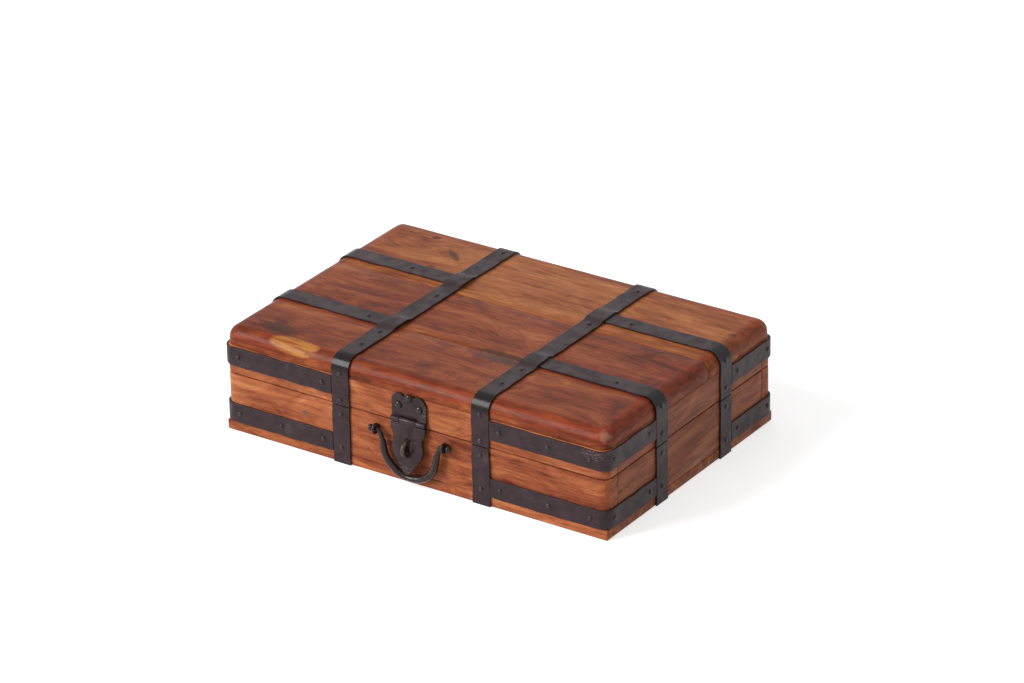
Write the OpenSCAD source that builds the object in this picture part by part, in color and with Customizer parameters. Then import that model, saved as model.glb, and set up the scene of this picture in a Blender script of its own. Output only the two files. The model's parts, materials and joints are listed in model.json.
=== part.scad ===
// A low wooden box for papers and keepsakes, bound with black iron straps.
// The origin is the centre of the underside. The front, with the hasp, faces -Y and +Z is up.
// All sizes are in millimetres.

/* [Box] */
// Length of the box from end to end
box_w = 356; // [320:1:420]
// Depth of the box from its front face to its back face
box_d = 240; // [215:1:280]
// Height of the base, from the table to the seam
base_h = 50; // [47:0.5:70]
// Thickness of the bottom board
bottom_t = 8.5; // [6:0.5:9.5]
// Thickness of the walls of the base and of the lid
wall_t = 16; // [14:0.5:20]
// Radius of the rounded upright corners
corner_r = 8; // [5:0.5:11]

/* [Lid] */
// Height of the lid's walls, under its top boards
lid_wall_h = 24.4; // [22.5:0.1:40]
// Thickness of the lid's top boards
top_board_t = 15; // [13:0.5:20]
// Radius of the rounded top edge
top_edge_r = 10.5; // [8:0.5:12]
// Width of the top board at the front
front_plank_w = 70; // [62:1:80]
// Width of the top board at the back
rear_plank_w = 95; // [85:1:100]
// Open line between two top boards
plank_gap = 0.3; // [0.1:0.1:0.8]
// Open line between the base and the lid
seam_gap = 0.6; // [0.4:0.1:1]

/* [Straps] */
// Width of every iron strap
strap_w = 16; // [12:0.5:16]
// Thickness of every iron strap
strap_t = 1.5; // [1:0.1:2]
// Clearance between an iron piece and the wood or iron under it
iron_gap = 0.1; // [0.05:0.05:0.2]
// Open line where one strap butts against another
butt_gap = 0.4; // [0.2:0.1:1]
// Distance from the left end to the middle of the left lid strap
left_strap_inset = 112; // [100:1:118]
// Distance from the right end to the middle of the right lid strap
right_strap_inset = 113.5; // [100:0.5:118]
// Distance from the front to the middle of the left end's front strap
left_front_inset = 72.5; // [68:0.5:76]
// Distance from the back to the middle of the left end's rear strap
left_rear_inset = 77; // [68:0.5:80]
// Distance from the front to the middle of the right end's front strap
right_front_inset = 76; // [68:0.5:78]
// Distance from the back to the middle of the right end's rear strap
right_rear_inset = 71.5; // [68:0.5:76]
// Length of the slope where a lid strap steps over an end strap
joggle_run = 4; // [3:0.5:5]
// Height from the lid's lower edge to the middle of its corner straps
lid_corner_strap_up = 15.6; // [13:0.1:16]
// Height from the bottom board to the middle of the base's corner straps
base_corner_strap_up = 8.3; // [8.1:0.1:12]

/* [Nails] */
// Radius of a strap nail's domed head
nail_head_r = 2.1; // [1.6:0.1:2.6]
// Height of a strap nail's domed head
nail_head_h = 1.3; // [0.8:0.1:1.8]
// Radius of a nail's shank
nail_shank_r = 0.9; // [0.6:0.1:1.2]
// Length of a nail in the wood
nail_depth = 9; // [6:0.5:10]
// Clearance round a nail's shank
nail_gap = 0.1; // [0.05:0.05:0.2]
// Radius of a hasp nail's domed head
hasp_nail_head_r = 2.6; // [2:0.1:3]
// Height of a hasp nail's domed head
hasp_nail_head_h = 1.9; // [1:0.1:2.2]
// Distance from the end of the box to a corner strap's outer nail
corner_nail_inset = 14; // [13:0.5:18]
// Distance from a corner strap's inner end to its inner nail
inner_nail_inset = 9; // [5:0.5:12]
// Height of a lid strap's lower nails above the lid's lower edge
lid_low_nail_up = 4.4; // [3:0.1:7]
// Height of a lid strap's upper nails above the lower face of the top boards
lid_high_nail_up = 2.5; // [1.5:0.1:3]
// Height of an end strap's lower nail above the lid's lower edge
lid_end_nail_up = 8.5; // [5:0.1:12]
// Distance from the seam down to the upper nails of the base's upright straps
base_high_nail_down = 7.5; // [5:0.5:10]
// Height of the lower nails of the base's upright straps above the bottom board
base_low_nail_up = 5.5; // [4:0.5:7]
// Distance from the front to the first nail on top of each lid strap
first_top_nail_in = 28.5; // [22:0.5:34]
// Distance from the front to the left lid strap's second nail on top
left_second_nail_in = 53.5; // [44:0.5:54]
// Distance from the front to the right lid strap's second nail on top
right_second_nail_in = 56; // [44:0.5:57]
// Distance from the front board's seam to the left lid strap's third nail
left_third_nail_in = 61; // [50:1:66]
// Distance from the rear board's seam to the right lid strap's third nail
right_third_nail_in = 6; // [4:0.5:8]
// Distance from the back to the left lid strap's last nail
left_last_nail_in = 15; // [14:0.5:30]
// Distance from the back to the right lid strap's last nail
right_last_nail_in = 19; // [14:0.5:30]
// Distance from the left lid strap's middle to the front end strap's nail on top
left_front_nail_out = 24; // [16:1:60]
// Distance from the left lid strap's middle to the rear end strap's nail on top
left_rear_nail_out = 46; // [16:1:60]
// Distance from the right end to the front end strap's nail on top
right_front_nail_in = 40; // [25:1:60]
// Distance from the right lid strap's middle to the rear end strap's nail on top
right_rear_nail_out = 28; // [16:1:60]
// Tilt of the nails on the rounded top edge, in degrees from the level
edge_nail_angle = 14; // [10:1:20]

/* [Hinges] */
// Distance from a lid strap to the hinge beside it
hinge_strap_gap = 6; // [2:0.5:8]
// Width of a hinge
hinge_w = 30; // [26:1:32]
// Width of a hinge's middle knuckle
hinge_mid_w = 11; // [9:0.5:13]
// Height of a hinge's leaf from the pin's axis
hinge_leaf_h = 17; // [14:0.5:20]
// Thickness of a hinge's leaf
hinge_leaf_t = 1.6; // [1.2:0.1:2]
// Outer radius of a hinge's knuckles
hinge_knuckle_r = 3; // [2.6:0.1:3.2]
// Radius of a hinge's pin
hinge_pin_r = 1.5; // [1:0.1:1.6]
// Clearance between a turning knuckle and its pin
running_gap = 0.05; // [0.02:0.01:0.1]
// Clearance between a fixed knuckle and its pin
fixed_gap = 0.02; // [0.01:0.01:0.05]
// Clearance between neighbouring knuckles, and between a knuckle and a leaf
knuckle_gap = 0.4; // [0.3:0.1:0.6]
// Distance from a hinge leaf's side to its nearest nail
hinge_nail_in = 6; // [4:0.5:8]
// Distance from a hinge leaf's far edge to its nails
hinge_nail_down = 4.5; // [3:0.5:6]

/* [Hasp] */
// Sideways place of the hasp from the middle of the box
hasp_x = -1; // [-4:0.5:4]
// Height of the hasp's pin above the lid's lower edge
hasp_pin_up = 3.6; // [2.8:0.1:4.2]
// Distance from the front of the box to the hasp's pin
hasp_pin_out = 2.7; // [2.5:0.1:3.2]
// Radius of the hasp's pin
hasp_pin_r = 1; // [0.7:0.1:1.1]
// Outer radius of the hasp's knuckles
hasp_knuckle_r = 2.2; // [2:0.1:2.3]
// Width of the hasp's plate and of its leaf's upper end
hasp_w = 32; // [28:0.5:34]
// Width of the leaf's middle knuckle
hasp_mid_w = 15; // [12:0.5:17]
// Height of the hasp's plate above its pin
hasp_plate_h = 22; // [18:0.2:22.4]
// Distance from the top of the plate to the foot of its scallops
hasp_scallop_down = 5; // [4:0.2:5.6]
// Thickness of the hasp's plate and leaf
hasp_t = 1.6; // [1.2:0.1:2]
// Distance from the middle of the plate to each lower nail
hasp_side_nail_x = 9.6; // [8:0.2:12]
// Height of the plate's two lower nails above the pin
hasp_side_nail_up = 12; // [8:0.2:12.4]
// Height of the plate's upper nail above the pin
hasp_top_nail_up = 19.6; // [15:0.2:19.8]
// Outward lean of the hanging leaf, in degrees
leaf_lean = 4.5; // [4:0.1:5]
// Width of the leaf at its waist
leaf_waist_w = 26.8; // [24:0.2:28]
// Distance from the pin to the lower end of the leaf's square shoulders
leaf_shoulder_down = 8; // [6:0.5:9]
// Distance from the pin to the leaf's waist
leaf_waist_down = 12.5; // [11:0.5:14]
// Radius of the leaf's round middle
leaf_belly_r = 14.4; // [13.5:0.1:15]
// Distance from the pin to the centre of the leaf's round middle
leaf_belly_down = 22; // [20:0.5:23]
// Radius of the leaf's rounded tip
leaf_tip_r = 4.2; // [3:0.1:5]
// Distance from the pin to the end of the leaf's tip
leaf_l = 44; // [40:0.2:44.2]
// Width of the slot in the leaf
slot_w = 4.6; // [4.2:0.1:5.4]
// Clearance from the staple to each end of the slot
slot_end_gap = 1; // [0.8:0.1:1.6]

/* [Staple] */
// Radius of the staple's round bar
staple_bar_r = 1.4; // [1.1:0.1:1.5]
// Radius of the staple's bend, at the middle of the bar
staple_bend_r = 5.5; // [5:0.1:6]
// Distance from the front of the box to the centre of the bend
staple_out = 6.2; // [5:0.1:7]
// Height of the middle of the staple
staple_z = 32.3; // [31:0.1:33]
// Length of a staple leg or a handle eye's shank in the wood
leg_depth = 11; // [8:0.5:13]

/* [Handle] */
// Sideways place of the handle from the middle of the box
bail_x = 1.2; // [-2:0.2:3]
// Height of the axis on which the handle swings
bail_z = 41.5; // [41.3:0.1:43.5]
// Distance from the front of the box to the axis of the handle
bail_out = 5; // [5:0.1:6]
// Distance between the middles of the two eyes
eye_spacing = 64; // [63.5:0.5:70]
// Radius of the handle's lower bend, at the middle of the bar
bail_bend_r = 25; // [24:0.5:25.5]
// Drop from the swing axis to the middle of the bar at the bottom
bail_drop = 34.7; // [34.6:0.1:35]
// Outward spread of each leg between the lower bend and the shoulder
bail_spread = 2; // [1:0.5:2.5]
// Radius of the bar at the bottom of the handle
bail_bar_r = 2.7; // [2.3:0.1:2.8]
// Radius of the bar at the top of the handle
bail_end_r = 2; // [1.6:0.1:2.2]
// Radius of the shoulder where the leg turns into the eye
bail_shoulder_r = 4; // [3.6:0.1:4.2]
// Radius of the knob that keeps the bar in its eye
bail_knob_r = 2.9; // [2.6:0.1:3.2]
// Clearance between the bar and its eye
eye_gap = 0.3; // [0.2:0.05:0.4]
// Radius of the eye's own bar
eye_bar_r = 1.2; // [1:0.1:1.3]
// Radius of the eye's shank
eye_shank_r = 1.5; // [1.2:0.1:1.6]

/* [Hidden] */
$fn = 64;
// Overlap that makes a cut pass right through
cut = 1;
half_w = box_w / 2;
half_d = box_d / 2;
lid_z = base_h + seam_gap;
top_z = lid_z + lid_wall_h;
lid_top = top_z + top_board_t;
middle_plank_y0 = -half_d + front_plank_w;
middle_plank_y1 = half_d - rear_plank_w;

// Middles of the straps
left_strap_x = -half_w + left_strap_inset;
right_strap_x = half_w - right_strap_inset;
strap_xs = [left_strap_x, right_strap_x];
left_end_ys = [-half_d + left_front_inset, half_d - left_rear_inset];
right_end_ys = [-half_d + right_front_inset, half_d - right_rear_inset];
lid_corner_z = lid_z + lid_corner_strap_up - strap_w / 2;
base_corner_z = bottom_t + base_corner_strap_up - strap_w / 2;
iron_face = iron_gap + strap_t;
joggle_h = strap_t + iron_gap;

// Heights and places of the nails on the upright straps
lid_low_nail_z = lid_z + lid_low_nail_up;
lid_high_nail_z = top_z + lid_high_nail_up;
lid_end_nail_z = lid_z + lid_end_nail_up;
base_high_nail_z = base_h - base_high_nail_down;
base_low_nail_z = bottom_t + base_low_nail_up;
lid_corner_nail_z = lid_corner_z + strap_w / 2;
base_corner_nail_z = base_corner_z + strap_w / 2;
left_top_nail_ys = [
    -half_d + first_top_nail_in, -half_d + left_second_nail_in,
    middle_plank_y0 + left_third_nail_in, half_d - left_last_nail_in
];
right_top_nail_ys = [
    -half_d + first_top_nail_in, -half_d + right_second_nail_in,
    middle_plank_y1 + right_third_nail_in, half_d - right_last_nail_in
];
left_end_top_nail_xs = [left_strap_x - left_front_nail_out, left_strap_x - left_rear_nail_out];
right_end_top_nail_xs = [half_w - right_front_nail_in, right_strap_x + right_rear_nail_out];
// Shares of the way from a corner strap's outer nail to its inner nail
lid_left_nail_shares = [0, 1];
lid_right_nail_shares = [0, 0.46, 1];
base_left_nail_shares = [0, 0.5, 1];
base_right_nail_shares = [0, 0.46, 1];
end_nail_shares = [0, 1];

// Hinges
left_hinge_x = left_strap_x + strap_w / 2 + hinge_strap_gap + hinge_w / 2;
right_hinge_x = right_strap_x - strap_w / 2 - hinge_strap_gap - hinge_w / 2;
hinge_xs = [left_hinge_x, right_hinge_x];
hinge_y = half_d + hinge_knuckle_r + 3 * iron_gap;
hinge_z = base_h + seam_gap / 2;
hinge_nail_up = hinge_leaf_h - hinge_nail_down;

// Hasp, seen from its pin: its own X runs along the pin and its own Z upwards
hasp_y = -half_d - hasp_pin_out;
hasp_z = lid_z + hasp_pin_up;
hasp_end_w = (hasp_w - hasp_mid_w) / 2 - knuckle_gap;
leaf_tip_down = leaf_l - leaf_tip_r;
// Angle of the straight side between the leaf's round middle and its tip
leaf_side_angle = asin((leaf_belly_r - leaf_tip_r) / (leaf_tip_down - leaf_belly_down));
staple_half_h = staple_bend_r + staple_bar_r;
slot_top = hasp_z - staple_z - staple_half_h - slot_end_gap;
slot_bottom = hasp_z - staple_z + staple_half_h + slot_end_gap;
// Scallops along the plate's upper edge: sideways place, radius
plate_scallops = [[-9.5, 6], [0.5, 7.2], [9, 6.2]];

// Handle
bail_y = -half_d - bail_out;
bail_bend_z = bail_z - bail_drop + bail_bend_r;
shoulder_x = bail_bend_r + bail_spread;
shoulder_z = bail_z - bail_shoulder_r;
eye_bend_r = bail_end_r + eye_gap + eye_bar_r;
knob_x = eye_spacing / 2 + eye_bar_r + eye_gap + bail_knob_r - 0.4;
shank_start = bail_out - eye_bend_r;
// How much a ball in a kink of the bar stands proud of the bar
joint_swell = 0.05;

// Points at equal or unequal shares of the way from a to b
function along(a, b, shares) = [for (s = shares) a + s * (b - a)];

// Places of a corner strap's nails, on the long faces and on the ends of the box
function long_nail_xs(side, strap_x, shares) =
    along(side * (half_w - corner_nail_inset),
          strap_x + side * (strap_w / 2 + butt_gap + inner_nail_inset), shares);
function end_nail_ys(side, strap_y, shares) =
    along(side * (half_d - wall_t / 2 - 1),
          strap_y + side * (strap_w / 2 + butt_gap + inner_nail_inset), shares);

// Each nail is given as the face that it enters and its place on that face
lid_strap_nail_places = concat(
    [for (f = ["front", "back"], x = strap_xs, z = [lid_low_nail_z, lid_high_nail_z]) [f, x, z]],
    [for (y = left_top_nail_ys) ["top", left_strap_x, y]],
    [for (y = right_top_nail_ys) ["top", right_strap_x, y]]
);
lid_end_nail_places = concat(
    [for (i = [0, 1]) ["top", left_end_top_nail_xs[i], left_end_ys[i]]],
    [for (i = [0, 1]) ["top", right_end_top_nail_xs[i], right_end_ys[i]]],
    [for (y = left_end_ys) ["left", y, lid_end_nail_z]],
    [for (y = right_end_ys) ["right", y, lid_end_nail_z]],
    [for (y = left_end_ys) ["left_edge", y, 0]],
    [for (y = right_end_ys) ["right_edge", y, 0]]
);
lid_corner_nail_places = concat(
    [for (f = ["front", "back"], x = long_nail_xs(-1, left_strap_x, lid_left_nail_shares))
        [f, x, lid_corner_nail_z]],
    [for (f = ["front", "back"], x = long_nail_xs(1, right_strap_x, lid_right_nail_shares))
        [f, x, lid_corner_nail_z]],
    [for (y = end_nail_ys(-1, left_end_ys[0], end_nail_shares)) ["left", y, lid_corner_nail_z]],
    [for (y = end_nail_ys(1, left_end_ys[1], end_nail_shares)) ["left", y, lid_corner_nail_z]],
    [for (y = end_nail_ys(-1, right_end_ys[0], end_nail_shares)) ["right", y, lid_corner_nail_z]],
    [for (y = end_nail_ys(1, right_end_ys[1], end_nail_shares)) ["right", y, lid_corner_nail_z]]
);
base_strap_nail_places = concat(
    [for (f = ["front", "back"], x = strap_xs, z = [base_low_nail_z, base_high_nail_z]) [f, x, z]],
    [for (y = left_end_ys, z = [base_low_nail_z, base_high_nail_z]) ["left", y, z]],
    [for (y = right_end_ys, z = [base_low_nail_z, base_high_nail_z]) ["right", y, z]]
);
base_corner_nail_places = concat(
    [for (f = ["front", "back"], x = long_nail_xs(-1, left_strap_x, base_left_nail_shares))
        [f, x, base_corner_nail_z]],
    [for (f = ["front", "back"], x = long_nail_xs(1, right_strap_x, base_right_nail_shares))
        [f, x, base_corner_nail_z]],
    [for (y = end_nail_ys(-1, left_end_ys[0], end_nail_shares)) ["left", y, base_corner_nail_z]],
    [for (y = end_nail_ys(1, left_end_ys[1], end_nail_shares)) ["left", y, base_corner_nail_z]],
    [for (y = end_nail_ys(-1, right_end_ys[0], end_nail_shares)) ["right", y, base_corner_nail_z]],
    [for (y = end_nail_ys(1, right_end_ys[1], end_nail_shares)) ["right", y, base_corner_nail_z]]
);
hasp_nail_places = [
    ["front", hasp_x - hasp_side_nail_x, hasp_z + hasp_side_nail_up],
    ["front", hasp_x + hasp_side_nail_x, hasp_z + hasp_side_nail_up],
    ["front", hasp_x, hasp_z + hasp_top_nail_up]
];
hinge_lid_nail_places = [for (x = hinge_xs, u = [-1, 0, 1])
    ["back", x + u * (hinge_w / 2 - hinge_nail_in), hinge_z + hinge_nail_up]];
hinge_base_nail_places = [for (x = hinge_xs, u = [-1, 0, 1])
    ["back", x + u * (hinge_w / 2 - hinge_nail_in), hinge_z - hinge_nail_up]];

// Some of the nails in a list: those that enter the named faces
function on_faces(places, faces) = [for (p = places) if (search([p[0]], faces)[0] != []) p];

// Puts its children on a face with +Z pointing out of the wood, lifted by the iron's thickness
module on_face(place, lift) {
    face = place[0];
    u = place[1];
    v = place[2];
    if (face == "front") translate([u, -half_d - lift, v]) rotate([90, 0, 0]) children();
    if (face == "back") translate([u, half_d + lift, v]) rotate([-90, 0, 0]) children();
    if (face == "left") translate([-half_w - lift, u, v]) rotate([0, -90, 0]) children();
    if (face == "right") translate([half_w + lift, u, v]) rotate([0, 90, 0]) children();
    if (face == "top") translate([u, v, lid_top + lift]) children();
    if (face == "left_edge")
        translate([-half_w + top_edge_r, u, lid_top - top_edge_r])
            rotate([0, edge_nail_angle - 90, 0])
                translate([0, 0, top_edge_r + lift]) children();
    if (face == "right_edge")
        translate([half_w - top_edge_r, u, lid_top - top_edge_r])
            rotate([0, 90 - edge_nail_angle, 0])
                translate([0, 0, top_edge_r + lift]) children();
}

// One nail whose head's flat underside is at the origin
module nail(head_r, head_h, lift) {
    dome_r = (head_r * head_r + head_h * head_h) / (2 * head_h);
    intersection() {
        translate([0, 0, head_h - dome_r]) sphere(dome_r);
        cylinder(r = head_r, h = head_h + cut);
    }
    translate([0, 0, -nail_depth - lift]) cylinder(r = nail_shank_r, h = nail_depth + lift + head_h / 4);
}

module nails(places, head_r, head_h, lift) {
    for (p = places) on_face(p, lift) nail(head_r, head_h, lift);
}

// The holes that a list of nails needs, through the iron and into the wood
module nail_holes(places, lift) {
    for (p = places)
        on_face(p, lift)
            translate([0, 0, -nail_depth - lift - nail_gap])
                cylinder(r = nail_shank_r + nail_gap, h = nail_depth + lift + 2 * cut);
}

// Outline of the box from above, grown outwards by g
module plan(g) {
    hw = half_w + g;
    hd = half_d + g;
    r = corner_r + g;
    square([2 * hw, 2 * (hd - r)], center = true);
    square([2 * (hw - r), 2 * hd], center = true);
    for (sx = [-1, 1], sy = [-1, 1])
        translate([sx * (hw - r), sy * (hd - r)]) circle(r);
}

// Outline of the lid from one side, from height z0 to its rounded top edges, grown outwards by g
module side_outline(half, z0, g) {
    r = top_edge_r + g;
    h = half + g;
    t = lid_top + g;
    translate([-h, z0]) square([2 * h, t - r - z0]);
    translate([r - h, z0]) square([2 * (h - r), t - z0]);
    for (s = [-1, 1]) translate([s * (h - r), t - r]) circle(r);
}

// Stands a drawing of the Y-Z plane up and extrudes it along X, centred on x
module along_x(x, w) {
    translate([x - w / 2, 0, 0]) rotate([90, 0, 90]) linear_extrude(w) children();
}

// Stands a drawing of the X-Z plane up and extrudes it along Y, centred on y
module along_y(y, w) {
    translate([0, y + w / 2, 0]) rotate([90, 0, 0]) linear_extrude(w) children();
}

// A long wall of the base or the lid, with its rounded upright corners
module long_wall(side, z, h) {
    y0 = side > 0 ? half_d - wall_t : -half_d - cut;
    intersection() {
        translate([0, 0, z]) linear_extrude(h) plan(0);
        translate([-half_w - cut, y0, z]) cube([box_w + 2 * cut, wall_t + cut, h]);
    }
}

// An end wall, butted between the two long walls
module end_wall(side, z, h) {
    x0 = side > 0 ? half_w - wall_t : -half_w;
    translate([x0, wall_t - half_d, z]) cube([wall_t, box_d - 2 * wall_t, h]);
}

module base_long_board(side, face) {
    color("sienna") difference() {
        long_wall(side, bottom_t, base_h - bottom_t);
        nail_holes(on_faces(base_strap_nail_places, [face]), iron_face);
        nail_holes(on_faces(base_corner_nail_places, [face, "left", "right"]), iron_face);
        if (face == "back") nail_holes(hinge_base_nail_places, hinge_leaf_t + iron_gap);
        if (face == "front") front_fitting_holes();
    }
}

// Holes for the staple's legs and the shanks of the handle's eyes
module front_fitting_holes() {
    for (s = [-1, 1]) {
        translate([hasp_x, leg_depth + nail_gap - half_d, staple_z + s * staple_bend_r])
            rotate([90, 0, 0]) cylinder(r = staple_bar_r + nail_gap, h = leg_depth + 2 * cut);
        translate([bail_x + s * eye_spacing / 2, leg_depth + nail_gap - half_d, bail_z])
            rotate([90, 0, 0]) cylinder(r = eye_shank_r + nail_gap, h = leg_depth + 2 * cut);
    }
}

module base_end_board(side, face) {
    color("sienna") difference() {
        end_wall(side, bottom_t, base_h - bottom_t);
        nail_holes(on_faces(base_strap_nail_places, [face]), iron_face);
        nail_holes(on_faces(base_corner_nail_places, [face]), iron_face);
    }
}

module bottom_board() {
    color("sienna") translate([-half_w, -half_d, 0]) cube([box_w, box_d, bottom_t]);
}

module lid_long_board(side, face) {
    color("peru") difference() {
        long_wall(side, lid_z, lid_wall_h);
        nail_holes(on_faces(lid_strap_nail_places, [face]), iron_face);
        nail_holes(on_faces(lid_corner_nail_places, [face, "left", "right"]), iron_face);
        if (face == "back") nail_holes(hinge_lid_nail_places, hinge_leaf_t + iron_gap);
        if (face == "front") nail_holes(hasp_nail_places, hasp_t + iron_gap);
    }
}

module lid_end_board(side, face) {
    color("peru") difference() {
        end_wall(side, lid_z, lid_wall_h);
        nail_holes(on_faces(lid_end_nail_places, [face]), iron_face);
        nail_holes(on_faces(lid_corner_nail_places, [face]), iron_face);
    }
}

// A top board from y0 to y1, cut from the lid's rounded top
module lid_top_plank(y0, y1) {
    color("chocolate") difference() {
        intersection() {
            translate([0, 0, top_z]) linear_extrude(top_board_t) plan(0);
            along_x(0, box_w + 2 * cut) side_outline(half_d, top_z, 0);
            along_y(0, box_d + 2 * cut) side_outline(half_w, top_z, 0);
            translate([-half_w - cut, y0, top_z - cut])
                cube([box_w + 2 * cut, y1 - y0, top_board_t + 2 * cut]);
        }
        nail_holes(on_faces(lid_strap_nail_places, ["top", "front", "back"]), iron_face);
        nail_holes(on_faces(lid_end_nail_places, ["top", "left_edge", "right_edge"]), iron_face);
        nail_holes(hasp_nail_places, hasp_t + iron_gap);
    }
}

// Where a lid strap steps over an end strap whose middle is at y
module joggle(y, h) {
    flat = strap_w / 2 + butt_gap;
    translate([y, lid_top]) polygon([
        [-flat - joggle_run, 0], [-flat - joggle_run, h - joggle_h], [-flat, h],
        [flat, h], [flat + joggle_run, h - joggle_h], [flat + joggle_run, 0]
    ]);
}

// A lid strap that runs from the seam at the front, over the top and down to the seam at the back
module lid_strap(x, end_ys) {
    color("dimgray") difference() {
        along_x(x, strap_w) difference() {
            union() {
                side_outline(half_d, lid_z, iron_face);
                for (y = end_ys) joggle(y, iron_face + joggle_h);
            }
            side_outline(half_d, lid_z - cut, iron_gap);
            for (y = end_ys) joggle(y, iron_gap + joggle_h);
        }
        nail_holes(lid_strap_nail_places, iron_face);
    }
}

// An end strap, from under a lid strap over the end's rounded edge and down to the seam
module lid_end_strap(side, y, strap_x) {
    reach = half_w + iron_face + cut;
    color("dimgray") difference() {
        intersection() {
            along_y(y, strap_w) difference() {
                side_outline(half_w, lid_z, iron_face);
                side_outline(half_w, lid_z - cut, iron_gap);
            }
            translate([side > 0 ? strap_x : -reach, y - strap_w, lid_z - cut])
                cube([side > 0 ? reach - strap_x : reach + strap_x, 2 * strap_w, lid_top]);
        }
        nail_holes(lid_end_nail_places, iron_face);
    }
}

// A corner strap, between a lid or base strap on a long face and one on an end
module corner_strap(sx, sy, z, strap_x, strap_y, places) {
    reach_x = half_w + iron_face + cut;
    reach_y = half_d + iron_face + cut;
    end_x = strap_x + sx * (strap_w / 2 + butt_gap);
    end_y = strap_y + sy * (strap_w / 2 + butt_gap);
    color("dimgray") difference() {
        translate([0, 0, z]) linear_extrude(strap_w) intersection() {
            difference() {
                plan(iron_face);
                plan(iron_gap);
            }
            translate([sx > 0 ? end_x : -reach_x, sy > 0 ? end_y : -reach_y])
                square([reach_x - abs(end_x), reach_y - abs(end_y)]);
        }
        nail_holes(places, iron_face);
    }
}

module base_long_strap(side, x) {
    y0 = side > 0 ? half_d + iron_gap : -half_d - iron_face;
    color("dimgray") difference() {
        translate([x - strap_w / 2, y0, iron_gap]) cube([strap_w, strap_t, base_h - 2 * iron_gap]);
        nail_holes(base_strap_nail_places, iron_face);
    }
}

module base_end_strap(side, y) {
    x0 = side > 0 ? half_w + iron_gap : -half_w - iron_face;
    color("dimgray") difference() {
        translate([x0, y - strap_w / 2, iron_gap]) cube([strap_t, strap_w, base_h - 2 * iron_gap]);
        nail_holes(base_strap_nail_places, iron_face);
    }
}

module strap_nails(places) {
    color("black") nails(places, nail_head_r, nail_head_h, iron_face);
}

module hasp_nails() {
    color("black") nails(hasp_nail_places, hasp_nail_head_r, hasp_nail_head_h, hasp_t + iron_gap);
}

module hinge_nails(places) {
    color("black") nails(places, nail_head_r, nail_head_h, hinge_leaf_t + iron_gap);
}

// A bar along X, centred on the origin
module x_bar(r, w) {
    rotate([0, 90, 0]) cylinder(r = r, h = w, center = true);
}

// The fixed plate of the hasp, with a knuckle at each end of the pin
module hasp_plate() {
    y0 = -half_d - iron_gap - hasp_t;
    end_x = (hasp_w - hasp_end_w) / 2;
    low = hasp_knuckle_r + knuckle_gap;
    color("dimgray") difference() {
        union() {
            translate([hasp_x, y0 + hasp_t, hasp_z]) rotate([90, 0, 0]) linear_extrude(hasp_t) {
                translate([-hasp_w / 2, low]) square([hasp_w, hasp_plate_h - hasp_scallop_down - low]);
                for (c = plate_scallops) translate([c[0], hasp_plate_h - c[1]]) circle(c[1]);
            }
            for (s = [-1, 1]) {
                translate([hasp_x + s * end_x, y0 + hasp_t / 2, hasp_z + low / 2])
                    cube([hasp_end_w, hasp_t, low + 0.2], center = true);
                translate([hasp_x + s * end_x, hasp_y, hasp_z]) x_bar(hasp_knuckle_r, hasp_end_w);
            }
        }
        translate([hasp_x, hasp_y, hasp_z]) x_bar(hasp_pin_r + fixed_gap, hasp_w + cut);
        nail_holes(hasp_nail_places, hasp_t + iron_gap);
    }
}

// Outline of the leaf, from the pin at the origin down to its tip
module leaf_outline() {
    low = hasp_knuckle_r + knuckle_gap;
    c = cos(leaf_side_angle);
    s = sin(leaf_side_angle);
    translate([-hasp_mid_w / 2, -low - cut]) square([hasp_mid_w, low + cut]);
    polygon([
        [-hasp_w / 2, -low], [hasp_w / 2, -low], [hasp_w / 2, -leaf_shoulder_down],
        [leaf_waist_w / 2, -leaf_waist_down], [leaf_waist_w / 2, -leaf_belly_down],
        [-leaf_waist_w / 2, -leaf_belly_down], [-leaf_waist_w / 2, -leaf_waist_down],
        [-hasp_w / 2, -leaf_shoulder_down]
    ]);
    translate([0, -leaf_belly_down]) circle(leaf_belly_r);
    polygon([
        [-leaf_belly_r * c, -leaf_belly_down - leaf_belly_r * s],
        [leaf_belly_r * c, -leaf_belly_down - leaf_belly_r * s],
        [leaf_tip_r * c, -leaf_tip_down - leaf_tip_r * s],
        [-leaf_tip_r * c, -leaf_tip_down - leaf_tip_r * s]
    ]);
    translate([0, -leaf_tip_down]) circle(leaf_tip_r);
}

module slot_outline() {
    r = slot_w / 2;
    translate([0, -slot_top - r]) circle(r);
    translate([0, -slot_bottom + r]) circle(r);
    translate([-r, -slot_bottom + r]) square([slot_w, slot_bottom - slot_top - slot_w]);
}

// The swinging leaf of the hasp, which drops over the staple
module hasp_leaf() {
    color("dimgray") translate([hasp_x, hasp_y, hasp_z]) rotate([-leaf_lean, 0, 0]) difference() {
        union() {
            translate([0, hasp_t / 2, 0]) rotate([90, 0, 0]) linear_extrude(hasp_t) difference() {
                leaf_outline();
                slot_outline();
            }
            x_bar(hasp_knuckle_r, hasp_mid_w);
        }
        x_bar(hasp_pin_r + running_gap, hasp_mid_w + cut);
    }
}

module hasp_pin() {
    color("black") translate([hasp_x, hasp_y, hasp_z]) x_bar(hasp_pin_r, hasp_w + 1);
}

// The fixed loop on the base that the leaf's slot drops over
module hasp_staple() {
    color("dimgray") translate([hasp_x, -half_d, staple_z]) {
        translate([0, -staple_out, 0]) rotate([90, 0, 90]) rotate([0, 0, 90])
            rotate_extrude(angle = 180) translate([staple_bend_r, 0]) circle(staple_bar_r);
        for (s = [-1, 1]) translate([0, leg_depth, s * staple_bend_r]) rotate([90, 0, 0])
            cylinder(r = staple_bar_r, h = leg_depth + staple_out);
    }
}

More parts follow.
